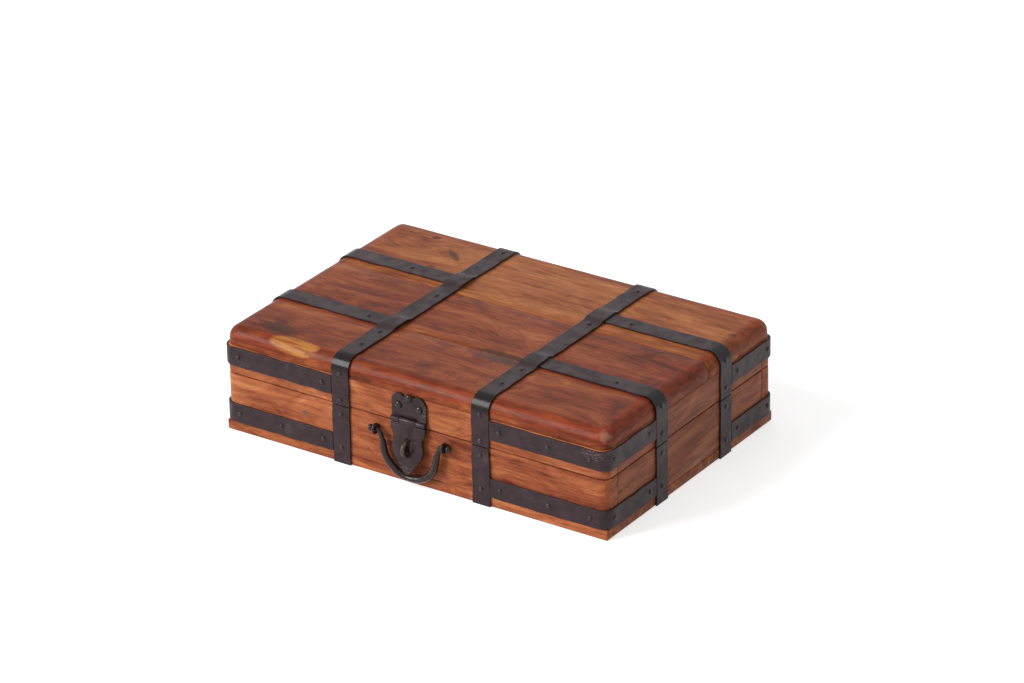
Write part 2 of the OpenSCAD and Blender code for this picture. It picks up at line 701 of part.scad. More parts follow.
// A round bar from point a to point b in the X-Z plane, with its own radius at each end
module bar_between(a, b, ra, rb) {
    d = b - a;
    translate([a[0], 0, a[1]]) rotate([0, atan2(d[0], d[1]), 0]) cylinder(r1 = ra, r2 = rb, h = norm(d));
}

// The drop handle: a U of round bar whose ends turn outwards through the two eyes
module bail_handle() {
    color("dimgray") translate([bail_x, bail_y, 0]) {
        translate([0, 0, bail_bend_z]) rotate([90, 0, 0]) rotate([0, 0, 180])
            rotate_extrude(angle = 180) translate([bail_bend_r, 0]) circle(bail_bar_r);
        for (s = [-1, 1]) {
            translate([s * bail_bend_r, 0, bail_bend_z]) sphere(bail_bar_r + joint_swell);
            bar_between([s * bail_bend_r, bail_bend_z], [s * shoulder_x, shoulder_z], bail_bar_r, bail_end_r);
            translate([s * shoulder_x, 0, shoulder_z]) sphere(bail_end_r + joint_swell);
            translate([s * (shoulder_x + bail_shoulder_r), 0, shoulder_z])
                rotate([90, 0, 0]) rotate([0, 0, s > 0 ? 90 : 0])
                    rotate_extrude(angle = 90) translate([bail_shoulder_r, 0]) circle(bail_end_r);
            bar_between([s * (shoulder_x + bail_shoulder_r), bail_z], [s * knob_x, bail_z],
                        bail_end_r, bail_end_r);
            translate([s * knob_x, 0, bail_z]) sphere(bail_knob_r);
        }
    }
}

// One of the two rings that carry the handle, with its shank in the front board
module bail_eye(side) {
    color("dimgray") translate([bail_x + side * eye_spacing / 2, bail_y, bail_z]) {
        rotate([0, 90, 0]) rotate_extrude() translate([eye_bend_r, 0]) circle(eye_bar_r);
        translate([0, bail_out + leg_depth, 0]) rotate([90, 0, 0])
            cylinder(r = eye_shank_r, h = leg_depth + shank_start - 0.2);
    }
}

// A surface hinge leaf above (up = 1) or below (up = -1) the pin, with one or two knuckles
module hinge_leaf(x, up, knuckle_xs, knuckle_w, bore_gap) {
    low = hinge_knuckle_r + knuckle_gap;
    y0 = half_d + iron_gap;
    color("dimgray") difference() {
        union() {
            translate([x - hinge_w / 2, y0, up > 0 ? hinge_z + low : hinge_z - hinge_leaf_h])
                cube([hinge_w, hinge_leaf_t, hinge_leaf_h - low]);
            for (k = knuckle_xs) {
                translate([x + k - knuckle_w / 2, y0, up > 0 ? hinge_z : hinge_z - low - cut])
                    cube([knuckle_w, hinge_leaf_t, low + cut]);
                translate([x + k, hinge_y, hinge_z]) x_bar(hinge_knuckle_r, knuckle_w);
            }
        }
        translate([x, hinge_y, hinge_z]) x_bar(hinge_pin_r + bore_gap, hinge_w + cut);
        nail_holes(up > 0 ? hinge_lid_nail_places : hinge_base_nail_places, hinge_leaf_t + iron_gap);
    }
}

module hinge_lid_leaf(x) {
    hinge_leaf(x, 1, [0], hinge_mid_w, running_gap);
}

module hinge_base_leaf(x) {
    w = (hinge_w - hinge_mid_w) / 2 - knuckle_gap;
    hinge_leaf(x, -1, [(w - hinge_w) / 2, (hinge_w - w) / 2], w, fixed_gap);
}

module hinge_pin(x) {
    color("black") translate([x, hinge_y, hinge_z]) x_bar(hinge_pin_r, hinge_w + 1);
}

base_long_board(-1, "front");  // base_front_board
base_long_board(1, "back");  // base_back_board
base_end_board(-1, "left");  // base_left_board
base_end_board(1, "right");  // base_right_board
bottom_board();
lid_long_board(-1, "front");  // lid_front_board
lid_long_board(1, "back");  // lid_back_board
lid_end_board(-1, "left");  // lid_left_board
lid_end_board(1, "right");  // lid_right_board
lid_top_plank(-half_d - cut, middle_plank_y0 - plank_gap / 2);  // lid_top_front_plank
lid_top_plank(middle_plank_y0 + plank_gap / 2, middle_plank_y1 - plank_gap / 2);  // lid_top_middle_plank
lid_top_plank(middle_plank_y1 + plank_gap / 2, half_d + cut);  // lid_top_rear_plank
lid_strap(left_strap_x, left_end_ys);  // lid_strap_left
lid_strap(right_strap_x, right_end_ys);  // lid_strap_right
lid_end_strap(-1, left_end_ys[0], left_strap_x);  // lid_end_strap_left_front
lid_end_strap(-1, left_end_ys[1], left_strap_x);  // lid_end_strap_left_rear
lid_end_strap(1, right_end_ys[0], right_strap_x);  // lid_end_strap_right_front
lid_end_strap(1, right_end_ys[1], right_strap_x);  // lid_end_strap_right_rear
corner_strap(-1, -1, lid_corner_z, left_strap_x, left_end_ys[0], lid_corner_nail_places);  // lid_corner_strap_left_front
corner_strap(-1, 1, lid_corner_z, left_strap_x, left_end_ys[1], lid_corner_nail_places);  // lid_corner_strap_left_rear
corner_strap(1, -1, lid_corner_z, right_strap_x, right_end_ys[0], lid_corner_nail_places);  // lid_corner_strap_right_front
corner_strap(1, 1, lid_corner_z, right_strap_x, right_end_ys[1], lid_corner_nail_places);  // lid_corner_strap_right_rear
corner_strap(-1, -1, base_corner_z, left_strap_x, left_end_ys[0], base_corner_nail_places);  // base_corner_strap_left_front
corner_strap(-1, 1, base_corner_z, left_strap_x, left_end_ys[1], base_corner_nail_places);  // base_corner_strap_left_rear
corner_strap(1, -1, base_corner_z, right_strap_x, right_end_ys[0], base_corner_nail_places);  // base_corner_strap_right_front
corner_strap(1, 1, base_corner_z, right_strap_x, right_end_ys[1], base_corner_nail_places);  // base_corner_strap_right_rear
base_long_strap(-1, left_strap_x);  // base_front_strap_left
base_long_strap(-1, right_strap_x);  // base_front_strap_right
base_long_strap(1, left_strap_x);  // base_back_strap_left
base_long_strap(1, right_strap_x);  // base_back_strap_right
base_end_strap(-1, left_end_ys[0]);  // base_end_strap_left_front
base_end_strap(-1, left_end_ys[1]);  // base_end_strap_left_rear
base_end_strap(1, right_end_ys[0]);  // base_end_strap_right_front
base_end_strap(1, right_end_ys[1]);  // base_end_strap_right_rear
strap_nails(lid_strap_nail_places);  // lid_strap_nails
strap_nails(lid_end_nail_places);  // lid_end_strap_nails
strap_nails(lid_corner_nail_places);  // lid_corner_strap_nails
strap_nails(base_strap_nail_places);  // base_strap_nails
strap_nails(base_corner_nail_places);  // base_corner_strap_nails
hasp_plate();
hasp_leaf();
hasp_pin();
hasp_nails();
hasp_staple();
bail_handle();
bail_eye(-1);  // bail_eye_left
bail_eye(1);  // bail_eye_right
hinge_lid_leaf(left_hinge_x);  // hinge_lid_leaf_left
hinge_lid_leaf(right_hinge_x);  // hinge_lid_leaf_right
hinge_base_leaf(left_hinge_x);  // hinge_base_leaf_left
hinge_base_leaf(right_hinge_x);  // hinge_base_leaf_right
hinge_pin(left_hinge_x);  // hinge_pin_left
hinge_pin(right_hinge_x);  // hinge_pin_right
hinge_nails(hinge_lid_nail_places);  // hinge_lid_nails
hinge_nails(hinge_base_nail_places);  // hinge_base_nails
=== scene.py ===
"""The looks of a low wooden box for papers and keepsakes, bound with black iron straps."""

import json
import logging
import math
import random
from contextlib import contextmanager
from dataclasses import dataclass
from enum import Enum
from typing import Callable, Iterator, Optional, Sequence

import bmesh
import bpy
import numpy as np
from mathutils import Matrix, Vector, noise

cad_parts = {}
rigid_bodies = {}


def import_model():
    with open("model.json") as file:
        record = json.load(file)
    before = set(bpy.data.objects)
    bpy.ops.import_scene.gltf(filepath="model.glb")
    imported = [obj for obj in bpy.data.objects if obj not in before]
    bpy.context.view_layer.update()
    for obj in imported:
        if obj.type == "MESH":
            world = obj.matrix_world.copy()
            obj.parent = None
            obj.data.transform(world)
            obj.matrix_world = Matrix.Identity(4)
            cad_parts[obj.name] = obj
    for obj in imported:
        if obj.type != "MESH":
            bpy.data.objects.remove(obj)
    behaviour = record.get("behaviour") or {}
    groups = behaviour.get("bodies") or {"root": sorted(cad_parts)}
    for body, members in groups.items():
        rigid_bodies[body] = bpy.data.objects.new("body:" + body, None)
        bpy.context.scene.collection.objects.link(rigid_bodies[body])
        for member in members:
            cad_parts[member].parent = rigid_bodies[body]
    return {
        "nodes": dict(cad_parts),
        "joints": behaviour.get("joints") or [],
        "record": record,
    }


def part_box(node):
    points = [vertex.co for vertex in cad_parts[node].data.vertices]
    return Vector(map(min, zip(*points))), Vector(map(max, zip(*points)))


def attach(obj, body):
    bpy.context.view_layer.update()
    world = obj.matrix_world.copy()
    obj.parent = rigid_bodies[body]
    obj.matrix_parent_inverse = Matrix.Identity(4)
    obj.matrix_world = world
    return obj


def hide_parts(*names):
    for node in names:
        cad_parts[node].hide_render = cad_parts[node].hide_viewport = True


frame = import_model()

LOG = logging.getLogger("ditty_box")
MM = 0.001
Colour = tuple[float, float, float]
Point = tuple[float, float, float]
Piece = bpy.types.Object
Material = bpy.types.Material
Socket = bpy.types.NodeSocket

TOUCH = 1e-6  # Points nearer than this are the same point.
SMOOTH_ANGLE = 36.0  # Surfaces that turn by less, in degrees, are shaded as smooth.
EDGE_FADE = 2 * MM  # How far the masks on the lid's rounded edge take to fade.
ARC_STEPS = 12  # The stretches in a bend of the handle or the staple.
# The handle's knobs: the share of the way out to the knob's middle, and the swelling there.
KNOB_PROFILE = ((0.3, 1.0), (0.5, 0.95), (0.66, 1.05), (0.8, 1.3), (0.95, 1.44), (1.12, 1.42), (1.28, 1.22),
                (1.42, 0.9), (1.53, 0.4))
# A nail's dome: the rise of each ring over the last, and its size as a share of it.
DOME_PROFILE = ((0.22, 1.0), (0.26, 0.93), (0.22, 0.84), (0.16, 0.70), (0.10, 0.50))

BODY_OF = {n: body for body, nodes in frame["record"]["behaviour"]["bodies"].items() for n in nodes}


class Grain(Enum):
    """The way that a board's grain runs."""

    LENGTHWAYS = "x"
    CROSSWAYS = "y"


# Meshes


def unit(axis: int) -> Vector:
    """The unit vector along axis 0, 1 or 2."""
    return Vector([float(i == axis) for i in range(3)])


def deselect() -> None:
    """Leaves object mode's selection empty, with nothing active."""
    for obj in bpy.context.view_layer.objects:
        obj.select_set(False)
    bpy.context.view_layer.objects.active = None


def activate(obj: Piece) -> None:
    """Makes one object the only selected one and the active one.

    Args:
        obj: the object.
    """
    deselect()
    obj.select_set(True)
    bpy.context.view_layer.objects.active = obj


@contextmanager
def editing(obj: Piece, select: str = "DESELECT") -> Iterator[None]:
    """Edit mode on one object.

    Args:
        obj: the mesh object to edit.
        select: "SELECT" or "DESELECT", for all its points on the way in.
    """
    activate(obj)
    bpy.ops.object.mode_set(mode="EDIT")
    bpy.ops.mesh.select_mode(type="VERT")
    bpy.ops.mesh.select_all(action=select)
    try:
        yield
    finally:
        bpy.ops.object.mode_set(mode="OBJECT")


def select_edges(obj: Piece, wanted: Callable[[Vector, Vector], bool]) -> None:
    """Selects the edges whose two ends pass a test, in edit mode.

    Args:
        obj: the mesh object in edit mode.
        wanted: says for the two ends of an edge whether it is selected.
    """
    bpy.ops.mesh.select_mode(type="EDGE")
    mesh = bmesh.from_edit_mesh(obj.data)
    for edge in mesh.edges:
        edge.select_set(wanted(edge.verts[0].co, edge.verts[1].co))
    bmesh.update_edit_mesh(obj.data)


def runs_along(axis: int, a: Vector, b: Vector) -> bool:
    """Whether the edge from a to b is parallel to an axis."""
    return all(abs(a[i] - b[i]) < TOUCH for i in range(3) if i != axis)


def cuts_along(obj: Piece, axis: int, count: int) -> None:
    """Cuts every edge parallel to an axis, which puts even rings round the piece.

    Args:
        obj: the mesh object.
        axis: 0, 1 or 2.
        count: how many cuts each edge gets.
    """
    with editing(obj):
        select_edges(obj, lambda a, b: runs_along(axis, a, b))
        bpy.ops.mesh.subdivide(number_cuts=count)


def add_block(low: Vector, high: Vector) -> Piece:
    """A block between two corners, with its place in its mesh.

    Args:
        low: the corner with the lowest coordinates.
        high: the corner with the highest coordinates.

    Returns:
        The block.
    """
    deselect()
    bpy.ops.mesh.primitive_cube_add(size=1, location=(low + high) / 2, scale=high - low)
    bpy.ops.object.transform_apply(location=True, rotation=True, scale=True)
    return bpy.context.object


def apply_modifier(obj: Piece, kind: str, **settings: object) -> None:
    """Adds one modifier to a piece and applies it.

    Args:
        obj: the mesh object.
        kind: the modifier's type.
        **settings: the modifier's own settings.
    """
    activate(obj)
    modifier = obj.modifiers.new("shape", kind)
    for key, value in settings.items():
        setattr(modifier, key, value)
    bpy.ops.object.modifier_apply(modifier=modifier.name)


def ease_edges(obj: Piece, width: float, angle: float = 38) -> None:
    """Rounds every sharp edge of a piece a little.

    Args:
        obj: the mesh object.
        width: how wide the rounding is, in metres.
        angle: the smallest turn that counts as an edge, in degrees.
    """
    apply_modifier(obj, "BEVEL", width=width, segments=2, limit_method="ANGLE",
                   angle_limit=math.radians(angle), miter_outer="MITER_ARC")


def make_uneven(obj: Piece, depth: float, size: float) -> None:
    """Sinks a surface by hand-worked hollows, never raising it.

    Args:
        obj: the mesh object.
        depth: the deepest hollow, in metres.
        size: the width of a hollow, in metres.
    """
    clouds = bpy.data.textures.new(f"hollows_{obj.name}", "CLOUDS")
    clouds.noise_scale = size
    apply_modifier(obj, "DISPLACE", texture=clouds, texture_coords="LOCAL", strength=depth, mid_level=1.0)


def shade(obj: Piece, angle: float = SMOOTH_ANGLE) -> None:
    """Shades a piece as smooth where its surface turns by less than an angle in degrees."""
    activate(obj)
    bpy.ops.object.shade_smooth_by_angle(angle=math.radians(angle))


def tidy_mesh(obj: Piece, smooth_angle: float = SMOOTH_ANGLE) -> None:
    """Merges doubles, turns the faces outwards and shades the piece.

    Args:
        obj: the mesh object.
        smooth_angle: the turn up to which its surface is shaded as smooth, in degrees.
    """
    with editing(obj, "SELECT"):
        bpy.ops.mesh.remove_doubles(threshold=TOUCH)
        bpy.ops.mesh.normals_make_consistent(inside=False)
    shade(obj, smooth_angle)


def join(objects: Sequence[Piece]) -> Piece:
    """Joins several meshes.

    Args:
        objects: the meshes, all of which go into the first.

    Returns:
        The first object.
    """
    deselect()
    for obj in objects:
        obj.select_set(True)
    bpy.context.view_layer.objects.active = objects[0]
    bpy.ops.object.join()
    return objects[0]


def cad_copy(node: str, ease: float) -> Piece:
    """A copy of a CAD node as one whole mesh, with its sharp edges eased.

    Args:
        node: the CAD node's name.
        ease: how wide its edges are rounded, in metres.

    Returns:
        The new object.
    """
    obj = bpy.data.objects.new(f"{node}_copy", frame["nodes"][node].data.copy())
    bpy.context.scene.collection.objects.link(obj)
    with editing(obj, "SELECT"):
        bpy.ops.mesh.remove_doubles(threshold=2 * TOUCH)
        bpy.ops.mesh.dissolve_limited(angle_limit=math.radians(0.5))
    ease_edges(obj, ease)
    shade(obj)
    return obj


def hand_over(obj: Piece, node: str, material: Material) -> None:
    """Finishes a piece: its name, material, body and the CAD node that it stands for.

    Args:
        obj: the finished mesh object.
        node: the CAD node that it stands for, which gives its name and body.
        material: the finish of its whole surface.
    """
    obj.name = f"{node}_piece"
    obj.data.materials.clear()
    obj.data.materials.append(material)
    for polygon in obj.data.polygons:
        polygon.material_index = 0
    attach(obj, BODY_OF[node])
    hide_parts(node)
    LOG.info("%s rides on %s, %d faces", obj.name, BODY_OF[node], len(obj.data.polygons))


class FlatBar:
    """A flat iron bar that is drawn out and bent as a smith would, from its cut end onwards."""

    STEP = 5 * MM
    BEND_FACES = 8
    WAVER_LENGTH = 11 * MM
    EASE = 0.35 * MM

    def __init__(self, corner: Point, opposite: Point) -> None:
        """Lays down the cut end, a rectangle square to one axis.

        Args:
            corner: one corner of the cut end.
            opposite: the corner opposite to it.
        """
        first, second = (i for i in range(3) if corner[i] != opposite[i])
        deselect()
        bpy.ops.mesh.primitive_plane_add(size=1, location=(0, 0, 0))
        self.obj = bpy.context.object
        for vertex, moved in ((0, ()), (1, (first,)), (3, (first, second)), (2, (second,))):
            self.obj.data.vertices[vertex].co = [(opposite if i in moved else corner)[i] for i in range(3)]
        activate(self.obj)
        bpy.ops.object.mode_set(mode="EDIT")
        bpy.ops.mesh.select_mode(type="FACE")
        bpy.ops.mesh.select_all(action="SELECT")

    def run(self, x: float, y: float, z: float, step: float = STEP) -> None:
        """Draws the bar out straight.

        Args:
            x: how far its end moves along x.
            y: how far its end moves along y.
            z: how far its end moves along z.
            step: the longest stretch between two rings of points.
        """
        way = Vector((x, y, z))
        count = max(1, round(way.length / step))
        for _ in range(count):
            bpy.ops.mesh.extrude_region_move(TRANSFORM_OT_translate={"value": way / count})

    def bend(self, centre: Point, axis: int, degrees: float) -> None:
        """Bends the bar round a point and an axis, by the right-hand rule."""
        bpy.ops.mesh.spin(steps=self.BEND_FACES, angle=-math.radians(degrees), center=centre, axis=unit(axis))

    def finish(self, across: int, waver: float, seed: float) -> Piece:
        """Ends the bar: its edges waver as hand-cut ones do, and they are eased.

        Args:
            across: the axis of the bar's width.
            waver: how far the edges waver, in metres.
            seed: a number that gives each bar its own edges.

        Returns:
            The finished object.
        """
        bpy.ops.object.mode_set(mode="OBJECT")
        tidy_mesh(self.obj)
        breadth, vertices = unit(across), self.obj.data.vertices
        middle = sum(vertex.co.dot(breadth) for vertex in vertices) / len(vertices)
        for vertex in vertices:
            side = math.copysign(1, vertex.co.dot(breadth) - middle)
            place = vertex.co / self.WAVER_LENGTH + Vector((seed, side * 7, seed * 2))
            vertex.co += breadth * (noise.noise(place) * waver)
        ease_edges(self.obj, self.EASE)
        shade(self.obj)
        return self.obj


# Materials


class Graph:
    """A node tree that is being wired, with short calls for the nodes used most."""

    def __init__(self, tree: bpy.types.NodeTree) -> None:
        """Takes the tree to wire."""
        self.tree = tree

    def node(self, kind: str, **settings: object) -> bpy.types.Node:
        """Adds one node.

        Args:
            kind: the node's type.
            **settings: the node's own settings.

        Returns:
            The node.
        """
        made = self.tree.nodes.new(kind)
        for key, value in settings.items():
            setattr(made, key, value)
        return made

    def group(self, name: str) -> bpy.types.Node:
        """Adds a node group by its name."""
        return self.node("ShaderNodeGroup", node_tree=bpy.data.node_groups[name])

    def put(self, socket: Socket, value: object) -> None:
        """Links or sets one input.

        Args:
            socket: the input.
            value: a socket to link, or the value to set.
        """
        if isinstance(value, Socket):
            self.tree.links.new(value, socket)
        elif socket.type == "RGBA":
            socket.default_value = (*value, 1)
        else:
            socket.default_value = value

    def fill(self, node: bpy.types.Node, **values: object) -> bpy.types.NodeOutputs:
        """Links or sets several inputs of a node.

        Args:
            node: the node.
            **values: a socket or value for each input, with _ for each space in its name.

        Returns:
            The node's outputs.
        """
        for name, value in values.items():
            self.put(node.inputs[name.replace("_", " ")], value)
        return node.outputs

    def math(self, operation: str, a: object, b: object, clamp: bool = False) -> Socket:
        """One Math node.

        Args:
            operation: its operation.
            a: its first value.
            b: its second value.
            clamp: whether the result is kept from 0 to 1.

        Returns:
            The result.
        """
        made = self.node("ShaderNodeMath", operation=operation, use_clamp=clamp)
        self.put(made.inputs[0], a)
        self.put(made.inputs[1], b)
        return made.outputs[0]

    def add(self, a: object, b: object, clamp: bool = False) -> Socket:
        """The sum of two values."""
        return self.math("ADD", a, b, clamp)

    def sub(self, a: object, b: object) -> Socket:
        """The difference of two values."""
        return self.math("SUBTRACT", a, b)

    def mul(self, a: object, b: object) -> Socket:
        """The product of two values."""
        return self.math("MULTIPLY", a, b)

    def vector(self, operation: str, a: object, b: object = (0.0, 0.0, 0.0)) -> Socket:
        """One Vector Math node.

        Args:
            operation: its operation.
            a: its first vector.
            b: its second vector.

        Returns:
            The result, a value for LENGTH and otherwise a vector.
        """
        made = self.node("ShaderNodeVectorMath", operation=operation)
        self.put(made.inputs[0], a)
        self.put(made.inputs[1], b)
        return made.outputs["Value" if operation == "LENGTH" else "Vector"]

    def parts(self, vector: object) -> Sequence[Socket]:
        """The x, y and z of a vector."""
        return self.fill(self.node("ShaderNodeSeparateXYZ"), Vector=vector)

    def noise(self, place: object, scale: float, detail: float, roughness: float,
              distortion: float = 0.0) -> Socket:
        """A noise pattern from 0 to 1."""
        return self.fill(self.node("ShaderNodeTexNoise"), Vector=place, Scale=scale, Detail=detail,
                         Roughness=roughness, Distortion=distortion)["Fac"]

    def streaks(self, place: object, scales: Point, *settings: float) -> Socket:
        """A noise pattern with its own scale along each axis, and noise's last settings."""
        return self.noise(self.vector("MULTIPLY", place, scales), 1.0, *settings)

    def spread(self, value: object, low: float, high: object, to_low: float = 0.0,
               to_high: float = 1.0) -> Socket:
        """Maps the values from low to high smoothly to those from to_low to to_high."""
        return self.fill(self.node("ShaderNodeMapRange", interpolation_type="SMOOTHSTEP"), Value=value,
                         From_Min=low, From_Max=high, To_Min=to_low, To_Max=to_high)["Result"]

    def mix(self, share: object, a: object, b: object, blend: str = "MIX") -> Socket:
        """Mixes two colours.

        Args:
            share: how much of the second there is.
            a: the first colour.
            b: the second colour.
            blend: the way that they mix.

        Returns:
            The mixed colour.
        """
        made = self.node("ShaderNodeMix", data_type="RGBA", blend_type=blend)
        self.put(made.inputs["Factor"], share)
        self.put(made.inputs[6], a)
        self.put(made.inputs[7], b)
        return made.outputs[2]

    def dim(self, colour: object, value: object) -> Socket:
        """A colour times a value."""
        grey = self.fill(self.node("ShaderNodeCombineColor"), Red=value, Green=value, Blue=value)[0]
        return self.mix(1.0, colour, grey, "MULTIPLY")

    def ramp(self, value: object, stops: Sequence[tuple[float, object]]) -> object:
        """Colours a value by stops.

        Args:
            value: the value.
            stops: each stop's value and colour, which may be a socket.

        Returns:
            The colour.
        """
        colour = stops[0][1]
        for (low, _), (high, above) in zip(stops, stops[1:]):
            colour = self.mix(self.spread(value, low, high), colour, above)
        return colour

    def bump(self, height: object, strength: float, distance: float) -> Socket:
        """The normal of a surface that a height makes uneven."""
        return self.fill(self.node("ShaderNodeBump"), Strength=strength, Distance=distance, Height=height)[0]


def new_group(name: str, vectors: Sequence[str], numbers: dict[str, float],
              outputs: Sequence[str]) -> tuple[Graph, dict[str, Socket], bpy.types.Node]:
    """A shader node group with named sockets.

    Args:
        name: the group's name.
        vectors: the names of its vector inputs.
        numbers: the names of its number inputs, with their first values.
        outputs: the names of its outputs, all numbers.

    Returns:
        The graph, the input sockets by name, and the group's output node.
    """
    tree = bpy.data.node_groups.new(name, "ShaderNodeTree")
    for label in vectors:
        tree.interface.new_socket(label, in_out="INPUT", socket_type="NodeSocketVector")
    for label, value in numbers.items():
        socket = tree.interface.new_socket(label, in_out="INPUT", socket_type="NodeSocketFloat")
        socket.default_value = value
    for label in outputs:
        tree.interface.new_socket(label, in_out="OUTPUT", socket_type="NodeSocketFloat")
    graph = Graph(tree)
    inside, outside = graph.node("NodeGroupInput"), graph.node("NodeGroupOutput")
    return graph, {socket.name: socket for socket in inside.outputs if socket.name}, outside


def new_material(name: str) -> tuple[Material, Graph, bpy.types.Node]:
    """A new material.

    Args:
        name: its name.

    Returns:
        The material, its graph and its shader.
    """
    made = bpy.data.materials.new(name)
    made.use_nodes = True
    return made, Graph(made.node_tree), made.node_tree.nodes["Principled BSDF"]


def make_figure_group() -> None:
    """Makes the figure of sawn hardwood: broad streaks, growth lines, pores and a height.

    The grain runs along x, so each pattern is much finer along y and z. Bulge shifts it sideways.
    """
    g, given, out = new_group("wood_figure", ("Place", "Seed"), {"Wander": 0.012, "Lines": 0.5, "Bulge": 0.0},
                              ("Figure", "Cloud", "Fine", "Pores", "Height"))
    place = g.vector("ADD", given["Place"], given["Seed"])
    sway = g.mul(g.sub(g.streaks(place, (5.0, 15.0, 15.0), 3, 0.55), 0.5), given["Wander"])
    shift = g.add(g.mul(sway, 4.0), given["Bulge"])
    x, y, z = g.parts(place)
    swayed = g.fill(g.node("ShaderNodeCombineXYZ"), X=x, Y=g.add(y, shift), Z=g.add(z, g.mul(shift, 0.7)))[0]
    broad = g.streaks(swayed, (5.0, 36.0, 36.0), 5, 0.62, 0.6)
    lines = g.streaks(swayed, (11.0, 190.0, 190.0), 4, 0.62, 0.3)
    figure = g.add(g.mul(broad, g.sub(1.0, given["Lines"])), g.mul(lines, given["Lines"]))
    cloud = g.streaks(place, (19.0, 40.0, 40.0), 5, 0.62, 1.5)
    fine = g.streaks(swayed, (22.0, 720.0, 720.0), 3, 0.6)
    pores = g.spread(g.streaks(swayed, (110.0, 1500.0, 1500.0), 2, 0.55), 0.60, 0.72)
    height = g.add(g.sub(g.mul(fine, 0.5), g.mul(pores, 0.6)), g.mul(lines, 0.5))
    g.fill(out, Figure=figure, Cloud=cloud, Fine=fine, Pores=pores, Height=height)


def make_spot_group() -> None:
    """Makes a soft uneven patch round a point, such as a knot, a stain or a stretch of sapwood."""
    g, given, out = new_group("wood_spot", ("Place", "Middle", "Reach", "Turn"), {"Ragged": 0.3, "Core": 0.45},
                              ("Mask",))
    away = g.vector("SUBTRACT", given["Place"], given["Middle"])
    turned = g.fill(g.node("ShaderNodeVectorRotate", rotation_type="EULER_XYZ"), Vector=away,
                    Rotation=given["Turn"])[0]
    share = g.vector("DIVIDE", turned, given["Reach"])
    wobble = g.mul(g.sub(g.noise(share, 1.7, 4, 0.6), 0.5), given["Ragged"])
    reach = g.add(g.vector("LENGTH", share), g.mul(wobble, 3.0))
    g.fill(out, Mask=g.spread(reach, 1.0, given["Core"]))


def make_iron_group() -> None:
    """Makes the skin of blackened iron: mottling, fine scratches, rubbed spots and a height."""
    g, given, out = new_group("iron_skin", ("Place", "Seed"), {"Hammering": 1.0},
                              ("Mottle", "Scratches", "Rubbed", "Height"))
    place = g.vector("ADD", given["Place"], given["Seed"])
    lengthways = g.spread(g.streaks(place, (60.0, 900.0, 900.0), 2, 0.5, 0.6), 0.66, 0.74)
    crossways = g.spread(g.streaks(place, (900.0, 50.0, 300.0), 2, 0.5, 0.8), 0.68, 0.75)
    scratches = g.math("MAXIMUM", lengthways, crossways)
    rubbed = g.spread(g.noise(place, 38.0, 4, 0.65), 0.56, 0.72)
    dents = g.mul(g.noise(place, 160.0, 2, 0.5), given["Hammering"])
    height = g.add(dents, g.mul(g.noise(place, 1100.0, 3, 0.6), 0.22))
    g.fill(out, Mottle=g.noise(place, 90.0, 5, 0.62), Scratches=scratches, Rubbed=rubbed,
           Height=g.sub(height, g.mul(scratches, 0.12)))


def edge_mask(g: Graph, place: Socket, box: "BoxSizes", reach: float) -> Socket:
    """A mask that is 1 on the lid's rounded top edge.

    Args:
        g: the graph that gets the nodes.
        place: the point's place, in object coordinates.
        box: the sizes of the box.
        reach: how far the mask runs in over the flat top, in metres.

    Returns:
        The mask, which fades out on the flat top and the upright faces.
    """
    x, y, z = g.parts(g.vector("ABSOLUTE", place))
    start = box.edge_radius + reach
    rim = g.math("MAXIMUM", g.sub(x, box.half_w - start), g.sub(y, box.half_d - start))
    inward = g.spread(rim, 0.0, reach + EDGE_FADE)
    return g.mul(inward, g.spread(z, box.edge_z - EDGE_FADE, box.edge_z + EDGE_FADE))


def dimmed(colour: Colour, share: float) -> Colour:
    """A darker version of a colour."""
    return tuple(c * share for c in colour)


@dataclass(frozen=True)
class Spot:
    """A knot, stain or patch on a board, or a scratched place on iron.

    Its middle and reach are in millimetres, and turn is its slant seen from above, in degrees.
    """

    middle: Point
    reach: Point
    colour: Colour
    strength: float = 0.8
    turn: float = 0.0
    ragged: float = 0.3
    bulge: float = 0.0
    core: float = 0.45
    veined: float = 0.0

    def mask(self, g: Graph, place: Socket) -> Socket:
        """The spot's mask at a place, from 0 to 1."""
        return g.fill(g.group("wood_spot"), Place=place, Middle=tuple(x * MM for x in self.middle),
                      Reach=tuple(x * MM for x in self.reach), Turn=(0.0, 0.0, math.radians(self.turn)),
                      Ragged=self.ragged, Core=self.core)["Mask"]


